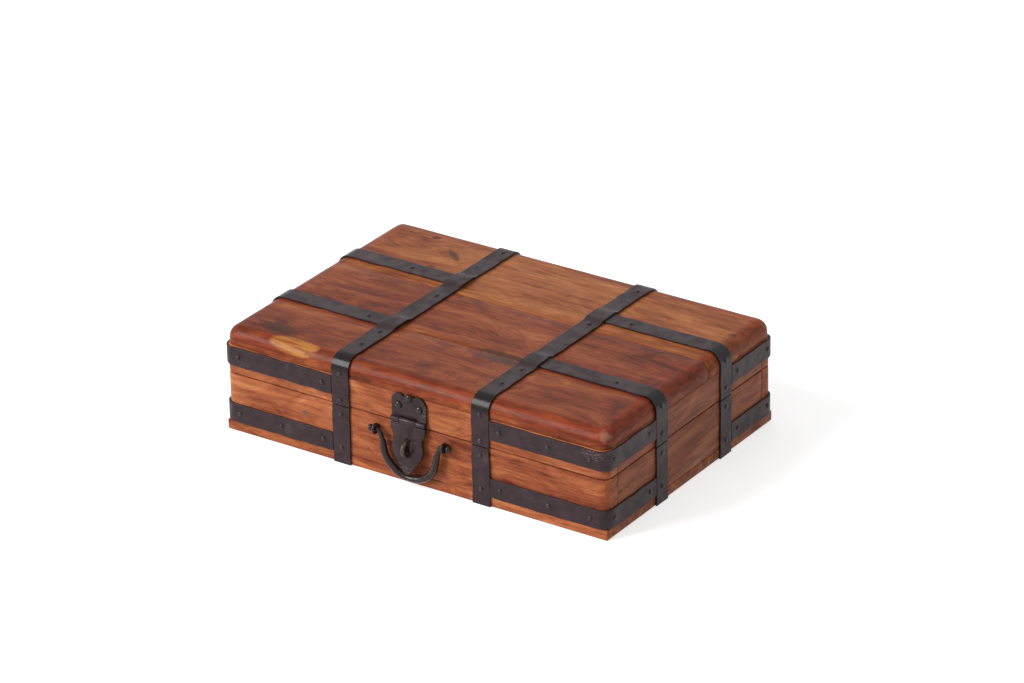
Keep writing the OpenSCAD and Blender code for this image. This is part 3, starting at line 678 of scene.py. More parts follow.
@dataclass(frozen=True)
class WoodFinish:
    """One board's finish: its colours from dark to pale, its figure and its marks."""

    name: str
    dark: Colour
    middle: Colour
    light: Colour
    pale: Colour
    grain: Grain = Grain.LENGTHWAYS
    seed: Point = (0.0, 0.0, 0.0)
    wander: float = 0.012
    lines: float = 0.5
    clouds: float = 0.6
    pores: float = 0.42
    end_grain: float = 0.55
    # The rounded top edge's colour: partly darker polished wood, partly a painted dark reflection of the glossy
    # edge; then its strength and how far in it reaches.
    edge: Colour = (0.270, 0.036, 0.010)
    edge_strength: float = 0.0
    edge_reach: float = 4 * MM
    vein: Colour = (0.25, 0.070, 0.018)
    roughness: float = 0.42
    specular: float = 0.12
    bump: float = 0.34
    bump_depth: float = 0.25 * MM
    spots: tuple[Spot, ...] = ()

    def material(self, box: "BoxSizes") -> Material:
        """Builds the material.

        Args:
            box: the sizes of the box, which place the rounded top edge, glossier and painted darker.

        Returns:
            The new material.
        """
        made, g, shader = new_material(self.name)
        place = g.node("ShaderNodeTexCoord").outputs["Object"]
        angle = math.pi / 2 if self.grain is Grain.CROSSWAYS else 0.0
        along = g.fill(g.node("ShaderNodeVectorRotate", rotation_type="Z_AXIS"), Vector=place, Angle=angle)[0]
        masks = [(spot, spot.mask(g, place)) for spot in self.spots]
        bulge = 0.0
        for spot, mask in masks:
            if spot.bulge:
                bulge = g.add(g.mul(mask, spot.bulge * MM), bulge)
        figure = g.fill(g.group("wood_figure"), Place=along, Seed=self.seed, Wander=self.wander,
                        Lines=self.lines, Bulge=bulge)
        value = g.add(figure["Figure"], g.mul(g.sub(figure["Cloud"], 0.5), self.clouds))
        colour = g.ramp(value, [(0.31, self.dark), (0.44, self.middle), (0.55, self.light),
                                (0.70, self.pale)])
        colour = g.dim(colour, g.spread(figure["Fine"], 0.35, 0.65, 0.80, 1.10))
        colour = g.mix(g.mul(figure["Pores"], self.pores), colour, self.dark)
        patchy = g.spread(g.noise(place, 45.0, 4, 0.6), 0.3, 0.62, 0.55, 1.0)
        # The rounded top edge is painted darker, partly its polished wood and partly a painted dark reflection.
        edge = g.mul(g.mul(edge_mask(g, place, box, self.edge_reach), patchy), self.edge_strength)
        colour = g.mix(edge, colour, self.edge_stain_and_reflection(g, place))
        for spot, mask in masks:
            if spot.strength:
                tint = self.veined(g, place, spot) if spot.veined else spot.colour
                colour = g.mix(g.mul(mask, spot.strength), colour, tint)
        colour = self.with_end_grain(g, place, colour)
        rough = g.spread(figure["Figure"], 0.3, 0.7, self.roughness + 0.06, self.roughness - 0.05)
        rough = g.add(g.sub(rough, g.mul(edge, 0.1)), g.mul(figure["Pores"], 0.15), True)
        g.fill(shader, Base_Color=colour, Roughness=rough, Specular_IOR_Level=self.specular,
               Normal=g.bump(figure["Height"], self.bump, self.bump_depth))
        return made

    def edge_stain_and_reflection(self, g: Graph, place: Socket) -> Socket:
        """The rounded edge's colour, with dark streaks: partly the darker polished wood and partly a painted
        dark reflection.
        """
        streaks = g.streaks(place, (28.0, 60.0, 420.0), 4, 0.6, 0.3)
        return g.mix(g.spread(streaks, 0.42, 0.60), dimmed(self.edge, 0.42), self.edge)

    def veined(self, g: Graph, place: Socket, spot: Spot) -> Socket:
        """A spot's colour, with veins along the grain."""
        veins = g.streaks(place, (38.0, 330.0, 330.0), 4, 0.6, 0.5)
        return g.mix(g.spread(veins, 0.46, 0.64, 0.0, spot.veined), spot.colour, self.vein)

    def with_end_grain(self, g: Graph, place: Socket, colour: Socket) -> Socket:
        """Darkens the faces that are sawn across the grain with fine dots.

        Args:
            g: the graph that gets the nodes.
            place: the point's place, in object coordinates.
            colour: the board's colour so far.

        Returns:
            The new colour.
        """
        facing = g.parts(g.vector("ABSOLUTE", g.node("ShaderNodeTexCoord").outputs["Normal"]))
        across = facing[0 if self.grain is Grain.LENGTHWAYS else 1]
        dots = g.spread(g.noise(place, 900.0, 3, 0.6), 0.3, 0.65, 0.45, 0.9)
        return g.mix(g.spread(across, 0.55, 0.9, 0.0, self.end_grain), colour, g.dim(colour, dots))


@dataclass(frozen=True)
class IronFinish:
    """A finish of blackened iron."""

    name: str
    colour: Colour = (0.036, 0.018, 0.022)
    worn: Colour = (0.120, 0.085, 0.085)
    roughness: float = 0.42
    metallic: float = 0.1
    specular: float = 0.22
    hammering: float = 0.5
    bump: float = 0.3
    bump_depth: float = 0.4 * MM
    scratched: float = 0.25
    rubbed: float = 0.25
    # How strongly the bend over the lid's rounded edge is painted darker, a painted dark reflection of its
    # gloss, and how far in that and the gloss reach.
    bend_dark_reflection: float = 0.85
    glossy_bend_reach: float = 1 * MM
    seed: Point = (0.0, 0.0, 0.0)
    scars: tuple[Spot, ...] = ()

    def material(self, box: Optional["BoxSizes"] = None) -> Material:
        """Builds the material.

        Args:
            box: given where the iron is glossier on the lid's rounded top edge, and painted darker there as a
                painted dark reflection.

        Returns:
            The new material.
        """
        made, g, shader = new_material(self.name)
        place = g.node("ShaderNodeTexCoord").outputs["Object"]
        skin = g.fill(g.group("iron_skin"), Place=place, Seed=self.seed, Hammering=self.hammering)
        colour = g.ramp(skin["Mottle"], [(0.34, dimmed(self.colour, 0.62)), (0.62, self.colour)])
        colour = g.mix(g.mul(skin["Rubbed"], self.rubbed), colour, self.worn)
        colour = g.mix(g.mul(skin["Scratches"], self.scratched), colour, self.worn)
        for scar in self.scars:
            slashes = g.spread(g.streaks(place, (240.0, 700.0, 1500.0), 3, 0.6, 1.2), 0.54, 0.66)
            share = g.mul(g.mul(slashes, scar.mask(g, place)), scar.strength)
            colour = g.mix(share, colour, scar.colour)
        rough = g.spread(skin["Mottle"], 0.3, 0.7, self.roughness + 0.09, self.roughness - 0.08)
        if box:
            # On the bend over the rounded edge the colour is painted darker, a painted dark reflection, and the
            # roughness is lower.
            edge = edge_mask(g, place, box, self.glossy_bend_reach)
            colour = g.mix(g.mul(edge, self.bend_dark_reflection), colour, dimmed(self.colour, 0.2))
            rough = g.sub(rough, g.mul(edge, self.roughness * 0.55))
        g.fill(shader, Base_Color=colour, Roughness=rough, Metallic=self.metallic,
               Specular_IOR_Level=self.specular, Normal=g.bump(skin["Height"], self.bump, self.bump_depth))
        return made


# The parts of the box


@dataclass(frozen=True)
class BoxSizes:
    """The sizes that several parts share, in metres, read from the frame where it holds them."""

    half_w: float
    half_d: float
    top_low: float
    lid_top: float
    strap_t: float
    iron_gap: float = 0.1 * MM
    edge_radius: float = 10.5 * MM
    corner_radius: float = 8 * MM

    @classmethod
    def from_frame(cls) -> "BoxSizes":
        """Reads the sizes from the CAD nodes' boxes.

        Returns:
            The sizes.
        """
        low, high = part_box("lid_top_rear_plank")
        strap_low, strap_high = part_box("base_front_strap_left")
        return cls(half_w=high.x, half_d=high.y, top_low=low.z, lid_top=high.z,
                   strap_t=strap_high.y - strap_low.y)

    @property
    def edge_z(self) -> float:
        """The height at which the lid's rounded top edge starts."""
        return self.lid_top - self.edge_radius


@dataclass
class Boards:
    """The wooden boards of the base and of the lid."""

    box: BoxSizes
    ease: float = 1.0 * MM
    seam_ease: float = 0.45 * MM
    hollow_depth: float = 0.22 * MM
    top_hollow_depth: float = 0.22 * MM * 1.3
    hollow_size: float = 26 * MM
    outer_margin: float = 1 * MM
    corner_faces: int = 8
    edge_faces: int = 9
    cuts: int = 30
    top_cuts: int = 34
    wall_rows: int = 3
    bottom_rows: int = 12
    top_rows: int = 5

    def wall(self, node: str) -> Piece:
        """A wall board: its rounded upright corners, eased edges and hand-planed faces.

        Args:
            node: its CAD node.

        Returns:
            The board.
        """
        low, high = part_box(node)
        obj = add_block(low, high)
        long_board = high.x - low.x > high.y - low.y
        if long_board:
            outer = high.y if high.y > 0 else low.y
            with editing(obj):
                select_edges(obj, lambda a, b: runs_along(2, a, b) and abs(a.y - outer) < TOUCH)
                bpy.ops.mesh.bevel(offset=self.box.corner_radius, segments=self.corner_faces, affect="EDGES")
        ease_edges(obj, self.ease)
        cuts_along(obj, 0 if long_board else 1, self.cuts)
        cuts_along(obj, 2, self.wall_rows)
        make_uneven(obj, self.hollow_depth, self.hollow_size)
        tidy_mesh(obj)
        return obj

    def bottom(self) -> Piece:
        """The bottom board, with almost square corners.

        Returns:
            The board.
        """
        obj = add_block(*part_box("bottom_board"))
        ease_edges(obj, self.ease)
        cuts_along(obj, 0, self.cuts)
        cuts_along(obj, 1, self.bottom_rows)
        tidy_mesh(obj)
        return obj

    def top_plank(self, node: str) -> Piece:
        """A top board, sawn from one block whose top edge and corners are rounded together.

        Args:
            node: its CAD node.

        Returns:
            The board.
        """
        box = self.box
        obj = add_block(Vector((-box.half_w, -box.half_d, box.top_low)),
                        Vector((box.half_w, box.half_d, box.lid_top)))
        with editing(obj):
            select_edges(obj, lambda a, b: runs_along(2, a, b) or min(a.z, b.z) > box.lid_top - TOUCH)
            bpy.ops.mesh.bevel(offset=box.edge_radius, segments=self.edge_faces, affect="EDGES")
        cut_low, cut_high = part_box(node)
        for place, outwards in ((cut_low.y, -1), (cut_high.y, 1)):
            if abs(place) < box.half_d - self.outer_margin:
                with editing(obj, "SELECT"):
                    bpy.ops.mesh.bisect(plane_co=(0, place, 0), plane_no=(0, outwards, 0),
                                        use_fill=True, clear_outer=True)
        ease_edges(obj, self.seam_ease, angle=50)
        cuts_along(obj, 0, self.top_cuts)
        cuts_along(obj, 1, self.top_rows)
        make_uneven(obj, self.top_hollow_depth, self.hollow_size)
        tidy_mesh(obj)
        return obj

    def build(self, finishes: dict[str, WoodFinish]) -> None:
        """Makes and dresses every board.

        Args:
            finishes: each board's finish, by its CAD node.
        """
        for node, finish in finishes.items():
            if node == "bottom_board":
                obj = self.bottom()
            elif "plank" in node:
                obj = self.top_plank(node)
            else:
                obj = self.wall(node)
            hand_over(obj, node, finish.material(self.box))


@dataclass
class Straps:
    """The flat iron straps round the lid and the base. Each one's seed gives it its own edges."""

    box: BoxSizes
    waver: float = 0.8 * MM
    joggle_run: float = 4 * MM
    joggle_flat_gap: float = 0.4 * MM
    joggle_step: float = 2 * MM
    flat_step: float = 4 * MM

    def across_lid(self, node: str, seed: float) -> Piece:
        """A lid strap: up the front, over the top with a step over each end strap, and down the back.

        Args:
            node: its CAD node.
            seed: its seed.

        Returns:
            The strap.
        """
        box, gap, thick, run = self.box, self.box.iron_gap, self.box.strap_t, self.joggle_run
        low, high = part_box(node)
        face = -box.half_d - gap
        flat_y = box.half_d - box.edge_radius
        bar = FlatBar((low.x, face - thick, low.z), (high.x, face, low.z))
        bar.run(0, 0, box.edge_z - low.z)
        bar.bend((0, -flat_y, box.edge_z), 0, -90)
        here = -flat_y
        for place in ("front", "rear"):
            end_low, end_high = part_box(f"{node.replace('strap', 'end_strap')}_{place}")
            start = end_low.y - self.joggle_flat_gap - run
            stop = end_high.y + self.joggle_flat_gap
            bar.run(0, start - here, 0)
            bar.run(0, run, thick + gap, self.joggle_step)
            bar.run(0, stop - start - run, 0, self.flat_step)
            bar.run(0, run, -thick - gap, self.joggle_step)
            here = stop + run
        bar.run(0, flat_y - here, 0)
        bar.bend((0, flat_y, box.edge_z), 0, -90)
        bar.run(0, 0, low.z - box.edge_z)
        return bar.finish(0, self.waver, seed)

    def over_end(self, node: str, seed: float) -> Piece:
        """An end strap: along the top, over the rounded end and down to the seam.

        Args:
            node: its CAD node.
            seed: its seed.

        Returns:
            The strap.
        """
        box = self.box
        low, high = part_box(node)
        side = 1 if high.x > 0 else -1
        inner = low.x if side > 0 else high.x
        top = box.lid_top + box.iron_gap
        bar = FlatBar((inner, low.y, top), (inner, high.y, top + box.strap_t))
        flat_x = side * (box.half_w - box.edge_radius)
        bar.run(flat_x - inner, 0, 0)
        bar.bend((flat_x, 0, box.edge_z), 1, side * 90)
        bar.run(0, 0, low.z - box.edge_z)
        return bar.finish(1, self.waver, seed)

    def round_corner(self, node: str, seed: float) -> Piece:
        """A corner strap, from one upright strap round the corner to the next.

        Args:
            node: its CAD node.
            seed: its seed.

        Returns:
            The strap.
        """
        box = self.box
        low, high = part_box(node)
        side_x = 1 if high.x > 0 else -1
        side_y = 1 if high.y > 0 else -1
        inner_x = low.x if side_x > 0 else high.x
        inner_y = low.y if side_y > 0 else high.y
        face = side_y * (box.half_d + box.iron_gap)
        bar = FlatBar((inner_x, face, low.z), (inner_x, face + side_y * box.strap_t, high.z))
        turn_x = side_x * (box.half_w - box.corner_radius)
        turn_y = side_y * (box.half_d - box.corner_radius)
        bar.run(turn_x - inner_x, 0, 0)
        bar.bend((turn_x, turn_y, 0), 2, -side_x * side_y * 90)
        bar.run(0, inner_y - turn_y, 0)
        return bar.finish(2, self.waver, seed)

    def upright(self, node: str, seed: float) -> Piece:
        """A straight strap on the base, from the seam down to the table.

        Args:
            node: its CAD node.
            seed: its seed.

        Returns:
            The strap.
        """
        low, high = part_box(node)
        bar = FlatBar(tuple(low), (high.x, high.y, low.z))
        bar.run(0, 0, high.z - low.z)
        return bar.finish(0 if high.x - low.x > high.y - low.y else 1, self.waver, seed)

    def build(self, finish: IronFinish) -> None:
        """Makes and dresses every strap.

        Args:
            finish: the straps' finish.
        """
        material = finish.material(self.box)
        for seed, node in enumerate(sorted(n for n in frame["nodes"] if "strap" in n and "nails" not in n)):
            if node.startswith("lid_strap"):
                obj = self.across_lid(node, seed)
            elif node.startswith("lid_end"):
                obj = self.over_end(node, seed)
            elif "corner" in node:
                obj = self.round_corner(node, seed)
            else:
                obj = self.upright(node, seed)
            hand_over(obj, node, material)


@dataclass
class Nails:
    """The domed nails: each head is a hand-forged copy of one pattern, with its own dents and tilt."""

    seed: int = 7
    sides: int = 20
    size_spread: float = 0.07
    height_spread: float = 0.14
    narrowest: float = 0.9
    height_share: float = 0.96
    tilt: float = 4.0
    dent_size: float = 1.6 * MM
    dent_depth: float = 0.16
    smooth_angle: float = 50

    def places(self, node: str) -> list[tuple[Vector, Vector, float, float]]:
        """Finds each nail of a CAD node.

        Args:
            node: the CAD node.

        Returns:
            For each nail the middle of its head's underside, its outward direction, and its head's
            radius and height.
        """
        mesh = bmesh.new()
        mesh.from_mesh(frame["nodes"][node].data)
        bmesh.ops.remove_doubles(mesh, verts=mesh.verts, dist=TOUCH)
        mesh.verts.index_update()
        mesh.faces.index_update()
        found = []
        left = set(mesh.verts)
        while left:
            stack = [left.pop()]
            island = []
            while stack:
                vertex = stack.pop()
                island.append(vertex)
                near = {edge.other_vert(vertex) for edge in vertex.link_edges} & left
                left -= near
                stack.extend(near)
            found.append(self.measure(sorted(island, key=lambda vertex: vertex.index)))
        mesh.free()
        return sorted(found, key=lambda nail: tuple(round(c, 5) for c in nail[0]))

    @staticmethod
    def measure(island: Sequence[bmesh.types.BMVert]) -> tuple[Vector, Vector, float, float]:
        """Measures one nail.

        The flat under its head and the flat end of its shank face the same way, which is inwards.

        Args:
            island: the nail's points, in the order of the mesh.

        Returns:
            The place, direction, head radius and head height.
        """
        areas: dict[tuple, float] = {}
        faces = {face for vertex in island for face in vertex.link_faces}
        for face in sorted(faces, key=lambda face: face.index):
            key = tuple(round(c, 2) for c in face.normal)
            areas[key] = areas.get(key, 0.0) + face.calc_area()
        axis = -np.array(max(areas, key=lambda key: areas[key]))
        axis /= np.linalg.norm(axis)
        points = np.array([tuple(vertex.co) for vertex in island])
        ends = points[(points @ axis) < (points @ axis).min() + 0.01 * MM]
        centre = ends.mean(0)
        along = (points - centre) @ axis
        around = np.linalg.norm(points - centre - np.outer(along, axis), axis=1)
        radius = around.max()
        underside = along[around > radius * 0.97].min()
        return Vector(centre + axis * underside), Vector(axis), float(radius), float(along.max() - underside)

    def pattern(self) -> Piece:
        """One domed head of radius 1 and height 1, drawn up ring by ring from its rim.

        Returns:
            The pattern.
        """
        deselect()
        bpy.ops.mesh.primitive_circle_add(vertices=self.sides, radius=1, fill_type="NGON")
        obj = bpy.context.object
        with editing(obj, "SELECT"):
            for rise, shrink in DOME_PROFILE:
                bpy.ops.mesh.extrude_region_move(TRANSFORM_OT_translate={"value": (0, 0, rise)})
                bpy.ops.transform.resize(value=(shrink, shrink, 1))
        return obj

    def build(self, node: str, material: Material, swell: float = 1.0) -> None:
        """Makes and dresses the nails of one CAD node.

        Args:
            node: the CAD node.
            material: the nails' finish.
            swell: how much bigger the heads are than in the CAD.
        """
        chance = random.Random(f"{self.seed}{node}")
        pattern = self.pattern()
        heads = []
        for middle, out, radius, height in self.places(node):
            head = bpy.data.objects.new("head", pattern.data.copy())
            bpy.context.scene.collection.objects.link(head)
            size = radius * swell * (1 - self.size_spread * chance.random())
            rise = height * swell * (1 - self.height_spread * chance.random()) * self.height_share
            turn = Matrix.Rotation(chance.uniform(0, math.tau), 4, "Z")
            lean = Matrix.Rotation(math.radians(chance.uniform(-self.tilt, self.tilt)), 4, "X")
            scale = Matrix.Diagonal((size, size * chance.uniform(self.narrowest, 1), rise, 1))
            stand = out.to_track_quat("Z", "Y").to_matrix().to_4x4()
            head.data.transform(Matrix.Translation(middle) @ stand @ lean @ turn @ scale)
            for vertex in head.data.vertices:
                dent = max(0.0, noise.noise(vertex.co / self.dent_size))
                vertex.co -= out * (dent * self.dent_depth * height)
            heads.append(head)
        bpy.data.objects.remove(pattern)
        obj = join(heads)
        tidy_mesh(obj, self.smooth_angle)
        hand_over(obj, node, material)


def arc(degrees: float, steps: int) -> list[tuple[float, float]]:
    """For each point of an arc, the share of the way along it and the angle in radians."""
    return [(step / steps, math.radians(degrees * step / steps)) for step in range(steps + 1)]


@dataclass
class FrontFittings:
    """The hasp, its staple and the drop handle, all on the front."""

    box: BoxSizes
    bar_radius_low: float = 2.7 * MM
    bar_radius_high: float = 2.0 * MM
    bar_sides: int = 14
    bar_smooth_angle: float = 30
    bend_radius: float = 25 * MM
    shoulder_spread: float = 2 * MM
    shoulder_radius: float = 4 * MM
    leg_swell: float = 0.6 * MM
    leg_taper: float = 0.1 * MM
    hammer_size: float = 5 * MM
    hammer_depth: float = 0.78 * MM
    eye_radius: float = 3.5 * MM
    eye_shank_start: float = 3.2 * MM
    eye_shank_radius: float = 1.45 * MM
    staple_bar: float = 1.4 * MM
    staple_bend: float = 5.5 * MM
    staple_breadth: float = 1.45
    thin_sides: int = 12
    thin_smooth_angle: float = 60
    hasp_ease: float = 0.35 * MM
    pin_ease: float = 0.2 * MM
    # A thin iron sheet behind the leaf's knuckle that stands in for the shade in the gap there: its width,
    # thickness and rise.
    shade_tongue_w: float = 15.6 * MM
    shade_tongue_t: float = 0.3 * MM
    shade_tongue_up: float = 2.2 * MM

    def swept_bar(self, points: Sequence[Vector], radii: Sequence[float], axis: int, sides: int) -> Piece:
        """A forged round bar, drawn out from a disc step by step along a flat line.

        Args:
            points: the points that the middle of the bar passes through.
            radii: the bar's radius at each point.
            axis: 0, 1 or 2, the axis that the line turns about.
            sides: how fine the bar is round its section.

        Returns:
            The bar as a closed mesh.
        """
        way = (points[1] - points[0]).normalized()
        deselect()
        bpy.ops.mesh.primitive_circle_add(vertices=sides, radius=radii[0], fill_type="NGON", location=points[0],
                                          rotation=way.to_track_quat("Z", "Y").to_euler())
        bpy.ops.object.transform_apply(location=True, rotation=True, scale=True)
        obj = bpy.context.object
        with editing(obj):
            bpy.ops.mesh.select_mode(type="FACE")
            bpy.ops.mesh.select_all(action="SELECT")
            for step in range(1, len(points)):
                ahead = points[min(step + 1, len(points) - 1)]
                new_way = (ahead - points[step - 1]).normalized()
                turn = math.atan2(unit(axis).dot(way.cross(new_way)), way.dot(new_way))
                shrink = radii[step] / radii[step - 1]
                bpy.ops.mesh.extrude_region_move(
                    TRANSFORM_OT_translate={"value": points[step] - points[step - 1]})
                bpy.ops.transform.rotate(value=-turn, orient_axis="XYZ"[axis], orient_type="GLOBAL",
                                         center_override=points[step])
                bpy.ops.transform.resize(value=(shrink,) * 3, center_override=points[step])
                way = new_way
        return obj

    def handle(self) -> Piece:
        """The drop handle: a hammered U whose ends turn outwards and swell into knobs.

        Returns:
            The handle.
        """
        low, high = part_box("bail_handle")
        joint = next(j for j in frame["joints"] if j["name"] == "handle_swing")
        mid_x, axis_y, axis_z = joint["pos_m"]
        thick, thin, bend, shoulder = (self.bar_radius_low, self.bar_radius_high, self.bend_radius,
                                       self.shoulder_radius)
        bend_z = low.z + thick + bend
        shoulder_x, shoulder_z = bend + self.shoulder_spread, axis_z - shoulder
        knob_x = (high.x - low.x) / 2 - (high.z - axis_z)
        # The right half from the bottom up, as x, z and radius.
        half = [(bend * math.sin(angle), bend_z - bend * math.cos(angle),
                 thick + self.leg_swell * math.sin(math.pi * share) - self.leg_taper * share)
                for share, angle in arc(90, ARC_STEPS)]
        half += [(bend + self.shoulder_spread * share, bend_z + (shoulder_z - bend_z) * share,
                  thick - (thick - thin) * (0.3 + share * 0.7)) for share in (0.35, 0.7)]
        half += [(shoulder_x + shoulder * (1 - math.cos(angle)), shoulder_z + shoulder * math.sin(angle), thin)
                 for _, angle in arc(90, 5)]
        start_x = half[-1][0]
        half += [(start_x + (knob_x - start_x) * share, axis_z, thin * swell) for share, swell in KNOB_PROFILE]
        places = [(-x, z, radius) for x, z, radius in reversed(half)] + half[1:]
        obj = self.swept_bar([Vector((mid_x + x, axis_y, z)) for x, z, _ in places],
                             [radius for _, _, radius in places], 1, self.bar_sides)
        tidy_mesh(obj, self.bar_smooth_angle)
        for vertex in obj.data.vertices:
            flat = noise.noise(vertex.co / self.hammer_size)
            vertex.co -= vertex.normal * (self.hammer_depth * max(0.0, flat + 0.1))
        return obj

    def staple(self) -> Piece:
        """The fixed loop that the leaf drops over, beaten broader than its bar.

        Returns:
            The staple.
        """
        low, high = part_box("hasp_staple")
        bend = self.staple_bend
        mid_x, mid_z = (low.x + high.x) / 2, (low.z + high.z) / 2
        bend_y = low.y + self.staple_bar + bend
        points = [Vector((mid_x, bend_y - bend * math.sin(angle), mid_z - bend * math.cos(angle)))
                  for _, angle in arc(180, ARC_STEPS)]
        points = [Vector((mid_x, high.y, mid_z - bend)), *points, Vector((mid_x, high.y, mid_z + bend))]
        obj = self.swept_bar(points, [self.staple_bar * 0.98] * len(points), 0, self.thin_sides)
        for vertex in obj.data.vertices:
            vertex.co.x = mid_x + (vertex.co.x - mid_x) * self.staple_breadth
        tidy_mesh(obj, self.thin_smooth_angle)
        return obj

    def eye(self, node: str) -> Piece:
        """A ring that carries the handle, with its shank.

        Args:
            node: its CAD node.

        Returns:
            The eye.
        """
        low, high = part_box(node)
        outer = (high.z - low.z) / 2
        middle = Vector(((low.x + high.x) / 2, low.y + outer, (low.z + high.z) / 2))
        deselect()
        bpy.ops.mesh.primitive_torus_add(
            location=middle, rotation=(0, math.pi / 2, 0), major_segments=28, minor_segments=self.thin_sides,
            major_radius=self.eye_radius, minor_radius=outer - self.eye_radius)
        ring = bpy.context.object
        bpy.ops.object.transform_apply(location=True, rotation=True, scale=True)
        shank = self.swept_bar([middle + Vector((0, self.eye_shank_start, 0)),
                                Vector((middle.x, high.y, middle.z))], [self.eye_shank_radius] * 2, 0,
                               self.thin_sides)
        tidy_mesh(shank, self.thin_smooth_angle)
        obj = join([ring, shank])
        shade(obj, self.thin_smooth_angle)
        return obj

    def plate(self) -> Piece:
        """The hasp's fixed plate, with a thin iron tongue behind the leaf's knuckle that stands in for the shade
        in the gap there.

        Returns:
            The plate.
        """
        obj = cad_copy("hasp_plate", self.hasp_ease)
        low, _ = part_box("hasp_plate")
        leaf_low, leaf_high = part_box("hasp_leaf")
        mid_x = (leaf_low.x + leaf_high.x) / 2
        back = -self.box.half_d - self.box.iron_gap
        # The tongue blocks the lit wood in the gap behind the knuckle, standing in for the shade there.
        shade_tongue = add_block(
            Vector((mid_x - self.shade_tongue_w / 2, back - self.shade_tongue_t, low.z + self.shade_tongue_up)),
            Vector((mid_x + self.shade_tongue_w / 2, back, leaf_high.z + self.shade_tongue_up)))
        ease_edges(shade_tongue, self.shade_tongue_t / 4)
        obj = join([obj, shade_tongue])
        shade(obj)
        return obj

    def build(self, hasp: IronFinish, forged: IronFinish, bare: IronFinish) -> None:
        """Makes and dresses the fittings.

        Args:
            hasp: the finish of the plate, leaf and pin.
            forged: the finish of the handle and its eyes.
            bare: the finish of the staple, which the leaf rubs bare.
        """
        hasp_material, forged_material = hasp.material(), forged.material()
        hand_over(self.plate(), "hasp_plate", hasp_material)
        hand_over(cad_copy("hasp_leaf", self.hasp_ease), "hasp_leaf", hasp_material)
        hand_over(cad_copy("hasp_pin", self.pin_ease), "hasp_pin", hasp_material)
        hand_over(self.staple(), "hasp_staple", bare.material())
        hand_over(self.handle(), "bail_handle", forged_material)
        for node in ("bail_eye_left", "bail_eye_right"):
            hand_over(self.eye(node), node, forged_material)


@dataclass
class Hinges:
    """The two surface hinges on the back."""

    ease: float = 0.3 * MM

    def build(self, finish: IronFinish) -> None:
        """Makes and dresses the leaves and pins.

        Args:
            finish: their finish.
        """
        material = finish.material()
        for node in sorted(n for n in frame["nodes"] if n.startswith("hinge") and "nails" not in n):
            hand_over(cad_copy(node, self.ease), node, material)


# The room


@dataclass(frozen=True)
class Studio:
    """The floor, the lights and the camera."""

    azimuth: float = 34.227
    elevation: float = 25.880
    roll: float = -0.0172355
    distance: float = 3.8415
    lens: float = 171.9
    aim_right: float = 0.01022
    aim_up: float = 0.02460
    sensor: float = 36.0
    key_way: Point = (-0.9, -1.0, 0.75)
    key_strength: float = 2.9
    key_softness: float = 34
    fill_way: Point = (0.6, 0.5, 1.0)
    fill_strength: float = 0.12
    fill_softness: float = 70
    sky_strength: float = 0.45
    floor_size: float = 16
    floor_drop: float = 0.2 * MM
    floor_colour: Colour = (0.93, 0.93, 0.93)
    floor_lift: float = 0.55

    def camera(self, box: BoxSizes) -> None:
        """Places the camera at the photograph's viewing angle.

        Args:
            box: the sizes of the box, whose middle it is aimed from.
        """
        az, el = math.radians(self.azimuth), math.radians(self.elevation)
        back = Vector((math.sin(az) * math.cos(el), -math.cos(az) * math.cos(el), math.sin(el)))
        level = (-back).cross(Vector((0, 0, 1))).normalized()
        upright = level.cross(-back)
        right = math.cos(self.roll) * level + math.sin(self.roll) * upright
        up = -math.sin(self.roll) * level + math.cos(self.roll) * upright
        aim = Vector((0, 0, box.lid_top / 2)) + right * self.aim_right + up * self.aim_up
        place = aim + back * self.distance
        data = bpy.data.cameras.new("camera")
        data.lens, data.sensor_width = self.lens, self.sensor
        camera = bpy.data.objects.new("camera", data)
        bpy.context.scene.collection.objects.link(camera)
        camera.matrix_world = Matrix((
            (right.x, up.x, back.x, place.x), (right.y, up.y, back.y, place.y),
            (right.z, up.z, back.z, place.z), (0, 0, 0, 1)))
        bpy.context.scene.camera = camera

    def sun(self, name: str, toward: Point, strength: float, softness: float) -> None:
        """A soft light from a direction.

        Args:
            name: its name.
            toward: the direction from the box to the light.
            strength: its strength.
            softness: how wide it is, in degrees.
        """
        data = bpy.data.lights.new(name, "SUN")
        data.energy, data.angle = strength, math.radians(softness)
        light = bpy.data.objects.new(name, data)
        bpy.context.scene.collection.objects.link(light)
        light.rotation_euler = Vector(toward).to_track_quat("Z", "Y").to_euler()

    def seen_share(self, g: Graph) -> Socket:
        """1 on camera, glossy and transmission rays."""
        ways = g.node("ShaderNodeLightPath").outputs
        seen = g.add(ways["Is Camera Ray"], ways["Is Glossy Ray"], True)
        return g.add(seen, ways["Is Transmission Ray"], True)

    def world(self) -> None:
        """A plain sky that shows white."""
        world = bpy.data.worlds.new("sky")
        world.use_nodes = True
        bpy.context.scene.world = world
        g = Graph(world.node_tree)
        g.fill(world.node_tree.nodes["Background"], Color=(1, 1, 1),
               Strength=g.spread(self.seen_share(g), 0.0, 1.0, self.sky_strength, 1.0))

    def floor(self) -> None:
        """A pale floor that keeps the box's shadow."""
        deselect()
        bpy.ops.mesh.primitive_plane_add(size=self.floor_size, location=(0, 0, -self.floor_drop))
        obj = bpy.context.object
        obj.name = "floor"
        material, g, shader = new_material("pale_floor")
        g.fill(shader, Base_Color=self.floor_colour, Roughness=0.9, Specular_IOR_Level=0.1,
               Emission_Color=(1, 1, 1), Emission_Strength=g.mul(self.seen_share(g), self.floor_lift))
        obj.data.materials.append(material)

    def build(self, box: BoxSizes) -> None:
        """Sets up the whole room.

        Args:
            box: the sizes of the box.
        """
        self.camera(box)
        self.world()
        self.floor()
        self.sun("key", self.key_way, self.key_strength, self.key_softness)
        self.sun("fill", self.fill_way, self.fill_strength, self.fill_softness)
        bpy.context.scene.view_settings.view_transform = "Standard"


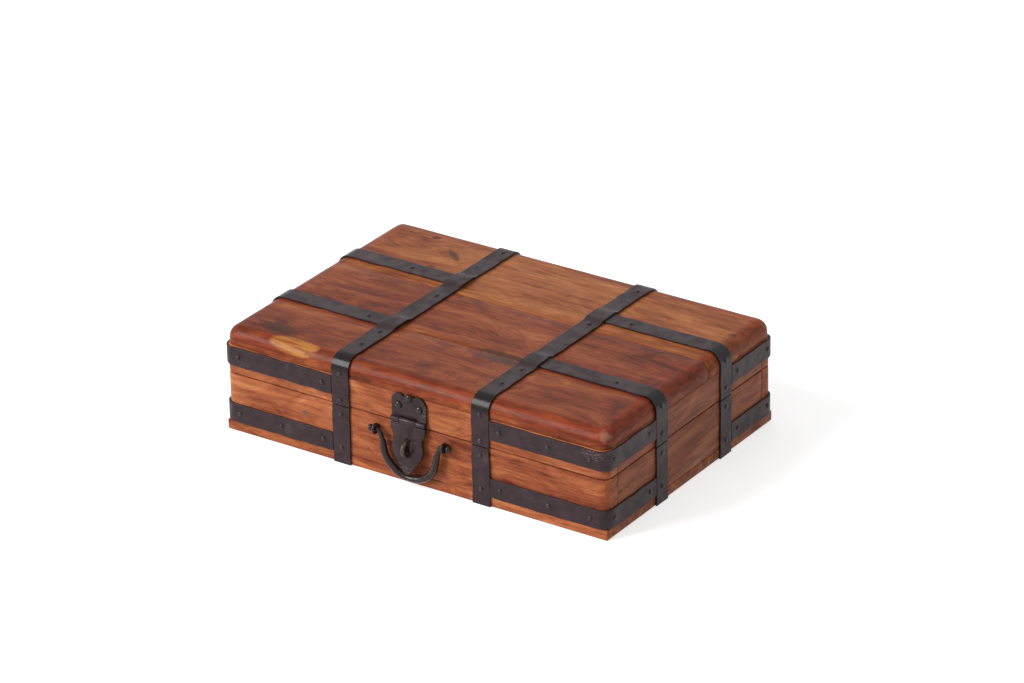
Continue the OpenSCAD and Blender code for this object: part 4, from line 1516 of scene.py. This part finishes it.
def wood_finishes() -> dict[str, WoodFinish]:
    """The finish of each board.

    Returns:
        The finishes, by CAD node.
    """
    face = dict(dark=(0.140, 0.028, 0.012), middle=(0.280, 0.070, 0.027), light=(0.395, 0.117, 0.044),
                pale=(0.530, 0.190, 0.074))
    red = dict(dark=(0.095, 0.019, 0.008), middle=(0.200, 0.041, 0.015), light=(0.285, 0.068, 0.023),
               pale=(0.410, 0.122, 0.038))
    # The end boards: the front's colours made darker and browner; the darkening is painted shade on the ends
    # turned away from the key light.
    side = dict(dark=(0.120, 0.030, 0.014), middle=(0.215, 0.062, 0.028), light=(0.295, 0.095, 0.042),
                pale=(0.390, 0.150, 0.070))
    brown = dict(dark=(0.150, 0.035, 0.011), middle=(0.270, 0.072, 0.022), light=(0.370, 0.115, 0.035),
                 pale=(0.480, 0.180, 0.060))
    mark = (0.045, 0.014, 0.009)
    cloud = (0.055, 0.028, 0.020)
    knot = (0.020, 0.008, 0.006)
    sap = (0.470, 0.190, 0.045)
    front_spots = (
        Spot((-138, -99, 90), (26, 11, 7), mark, 0.72, turn=14, ragged=0.62),
        Spot((-112, -114.5, 86), (26, 9, 8), sap, 0.93, ragged=0.2, core=0.72, veined=0.9),
        Spot((15, -95, 90), (48, 22, 30), mark, 0.0, bulge=-15, ragged=0.12, core=0.0),
        Spot((40, -56, 90), (28, 8, 5), cloud, 0.8, ragged=0.5),
        Spot((-52, -110, 90), (6, 3, 4), mark, 0.7, ragged=0.4),
        Spot((173, -114, 85), (7, 7, 6), (0.60, 0.33, 0.22), 0.4, ragged=0.5, core=0.2),
    )
    middle_spots = (
        Spot((24, -22, 90), (42, 20, 30), mark, 0.0, bulge=14, ragged=0.12, core=0.0),
        Spot((38, -47, 90), (32, 5, 4), cloud, 0.8, ragged=0.4),
        Spot((-128, -10, 90), (44, 5, 5), mark, 0.35, ragged=0.5),
    )
    rear_spots = (
        Spot((-125, 78, 90), (60, 26, 30), mark, 0.0, bulge=12, ragged=0.12, core=0.0),
        Spot((-129.5, 103.5, 90), (5.5, 3.6, 4), knot, 0.75, ragged=0.35),
        Spot((-102, 56, 90), (4.5, 2.4, 4), knot, 0.7, ragged=0.35),
        Spot((-98, 82.5, 90), (17, 3.8, 4), knot, 0.7, turn=41, ragged=0.4),
        Spot((168, 76, 90), (5, 2.4, 4), knot, 0.7, turn=-20, ragged=0.6),
    )
    base_knot = Spot((-101.5, -120, 34), (3.6, 3, 3), (0.150, 0.075, 0.062), 0.85, ragged=0.35)
    boards = {
        "lid_top_front_plank": WoodFinish(
            "front_plank_wood", **red, seed=(0.3, 1.7, 0.2), wander=0.016, lines=0.34, edge_strength=0.8,
            spots=front_spots),
        "lid_top_middle_plank": WoodFinish(
            "middle_plank_wood", **red, seed=(2.1, 0.4, 1.2), wander=0.014, lines=0.38, edge_strength=0.8,
            spots=middle_spots),
        "lid_top_rear_plank": WoodFinish(
            "rear_plank_wood", **brown, seed=(4.4, 3.1, 0.7), wander=0.010, edge_strength=0.7, spots=rear_spots),
        "bottom_board": WoodFinish("bottom_wood", **face, seed=(5.2, 0.9, 2.2)),
    }
    walls = [(part, wall) for part in ("base", "lid") for wall in ("front", "back", "left", "right")]
    for number, (part, wall) in enumerate(walls):
        # The end boards take the darker colours, painted shade.
        palette, grain = (face, Grain.LENGTHWAYS) if wall in ("front", "back") else (side, Grain.CROSSWAYS)
        boards[f"{part}_{wall}_board"] = WoodFinish(
            f"{part}_{wall}_wood", **palette, grain=grain, seed=(number * 1.3, number * 0.7, number * 0.9),
            wander=0.010, lines=0.45, spots=(base_knot,) if (part, wall) == ("base", "front") else ())
    return boards


def build_nails() -> None:
    """Makes every group of nails, with the hasp's heads bigger than the straps'."""
    nails = Nails()
    strap_material = IronFinish("nail_iron", colour=(0.032, 0.020, 0.023), roughness=0.34, rubbed=0.3,
                                metallic=0.2, specular=0.35, seed=(0.4, 0.1, 0.9)).material()
    hasp_material = IronFinish("hasp_nail_iron", colour=(0.022, 0.013, 0.014), roughness=0.15, rubbed=0.2,
                               specular=0.36, seed=(0.2, 0.6, 0.3)).material()
    for node in sorted(n for n in frame["nodes"] if n.endswith("nails")):
        if node == "hasp_nails":
            nails.build(node, hasp_material, swell=1.22)
        else:
            nails.build(node, strap_material)


def build_front_fittings(box: BoxSizes) -> None:
    """Makes the hasp and the drop handle in their three finishes.

    Args:
        box: the sizes of the box.
    """
    scars = (Spot((-1, -126, 15), (11, 9, 8), (0.17, 0.115, 0.100), 0.9, ragged=0.6),
             Spot((13, -121, 64), (5, 6, 13), (0.16, 0.120, 0.110), 0.7, ragged=0.6))
    FrontFittings(box).build(
        hasp=IronFinish("hasp_iron", colour=(0.034, 0.018, 0.021), roughness=0.38, rubbed=0.35,
                        seed=(0.1, 0.8, 0.4), scars=scars),
        forged=IronFinish("forged_iron", colour=(0.030, 0.016, 0.015), worn=(0.14, 0.088, 0.078),
                          roughness=0.19, rubbed=0.35, metallic=0.0, specular=0.26, hammering=2.0, bump=0.7,
                          seed=(0.9, 0.3, 0.1)),
        bare=IronFinish("rubbed_iron", colour=(0.085, 0.055, 0.050), worn=(0.2, 0.15, 0.14), roughness=0.34,
                        metallic=0.3, seed=(0.3, 0.7, 0.8)))


def main() -> None:
    """Builds the box's looks piece by piece."""
    logging.basicConfig(level=logging.INFO, format="%(name)s: %(message)s")
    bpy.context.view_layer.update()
    box = BoxSizes.from_frame()
    make_figure_group()
    make_spot_group()
    make_iron_group()
    Studio().build(box)
    Boards(box).build(wood_finishes())
    corner_scar = Spot((168, -119, 71), (13, 14, 5), (0.36, 0.27, 0.25), 0.9, ragged=0.6)
    Straps(box).build(IronFinish("strap_iron", seed=(0.7, 0.2, 0.5), scars=(corner_scar,)))
    build_nails()
    build_front_fittings(box)
    Hinges().build(IronFinish("hinge_iron", seed=(0.5, 0.5, 0.2)))


if __name__ == "__main__":
    main()
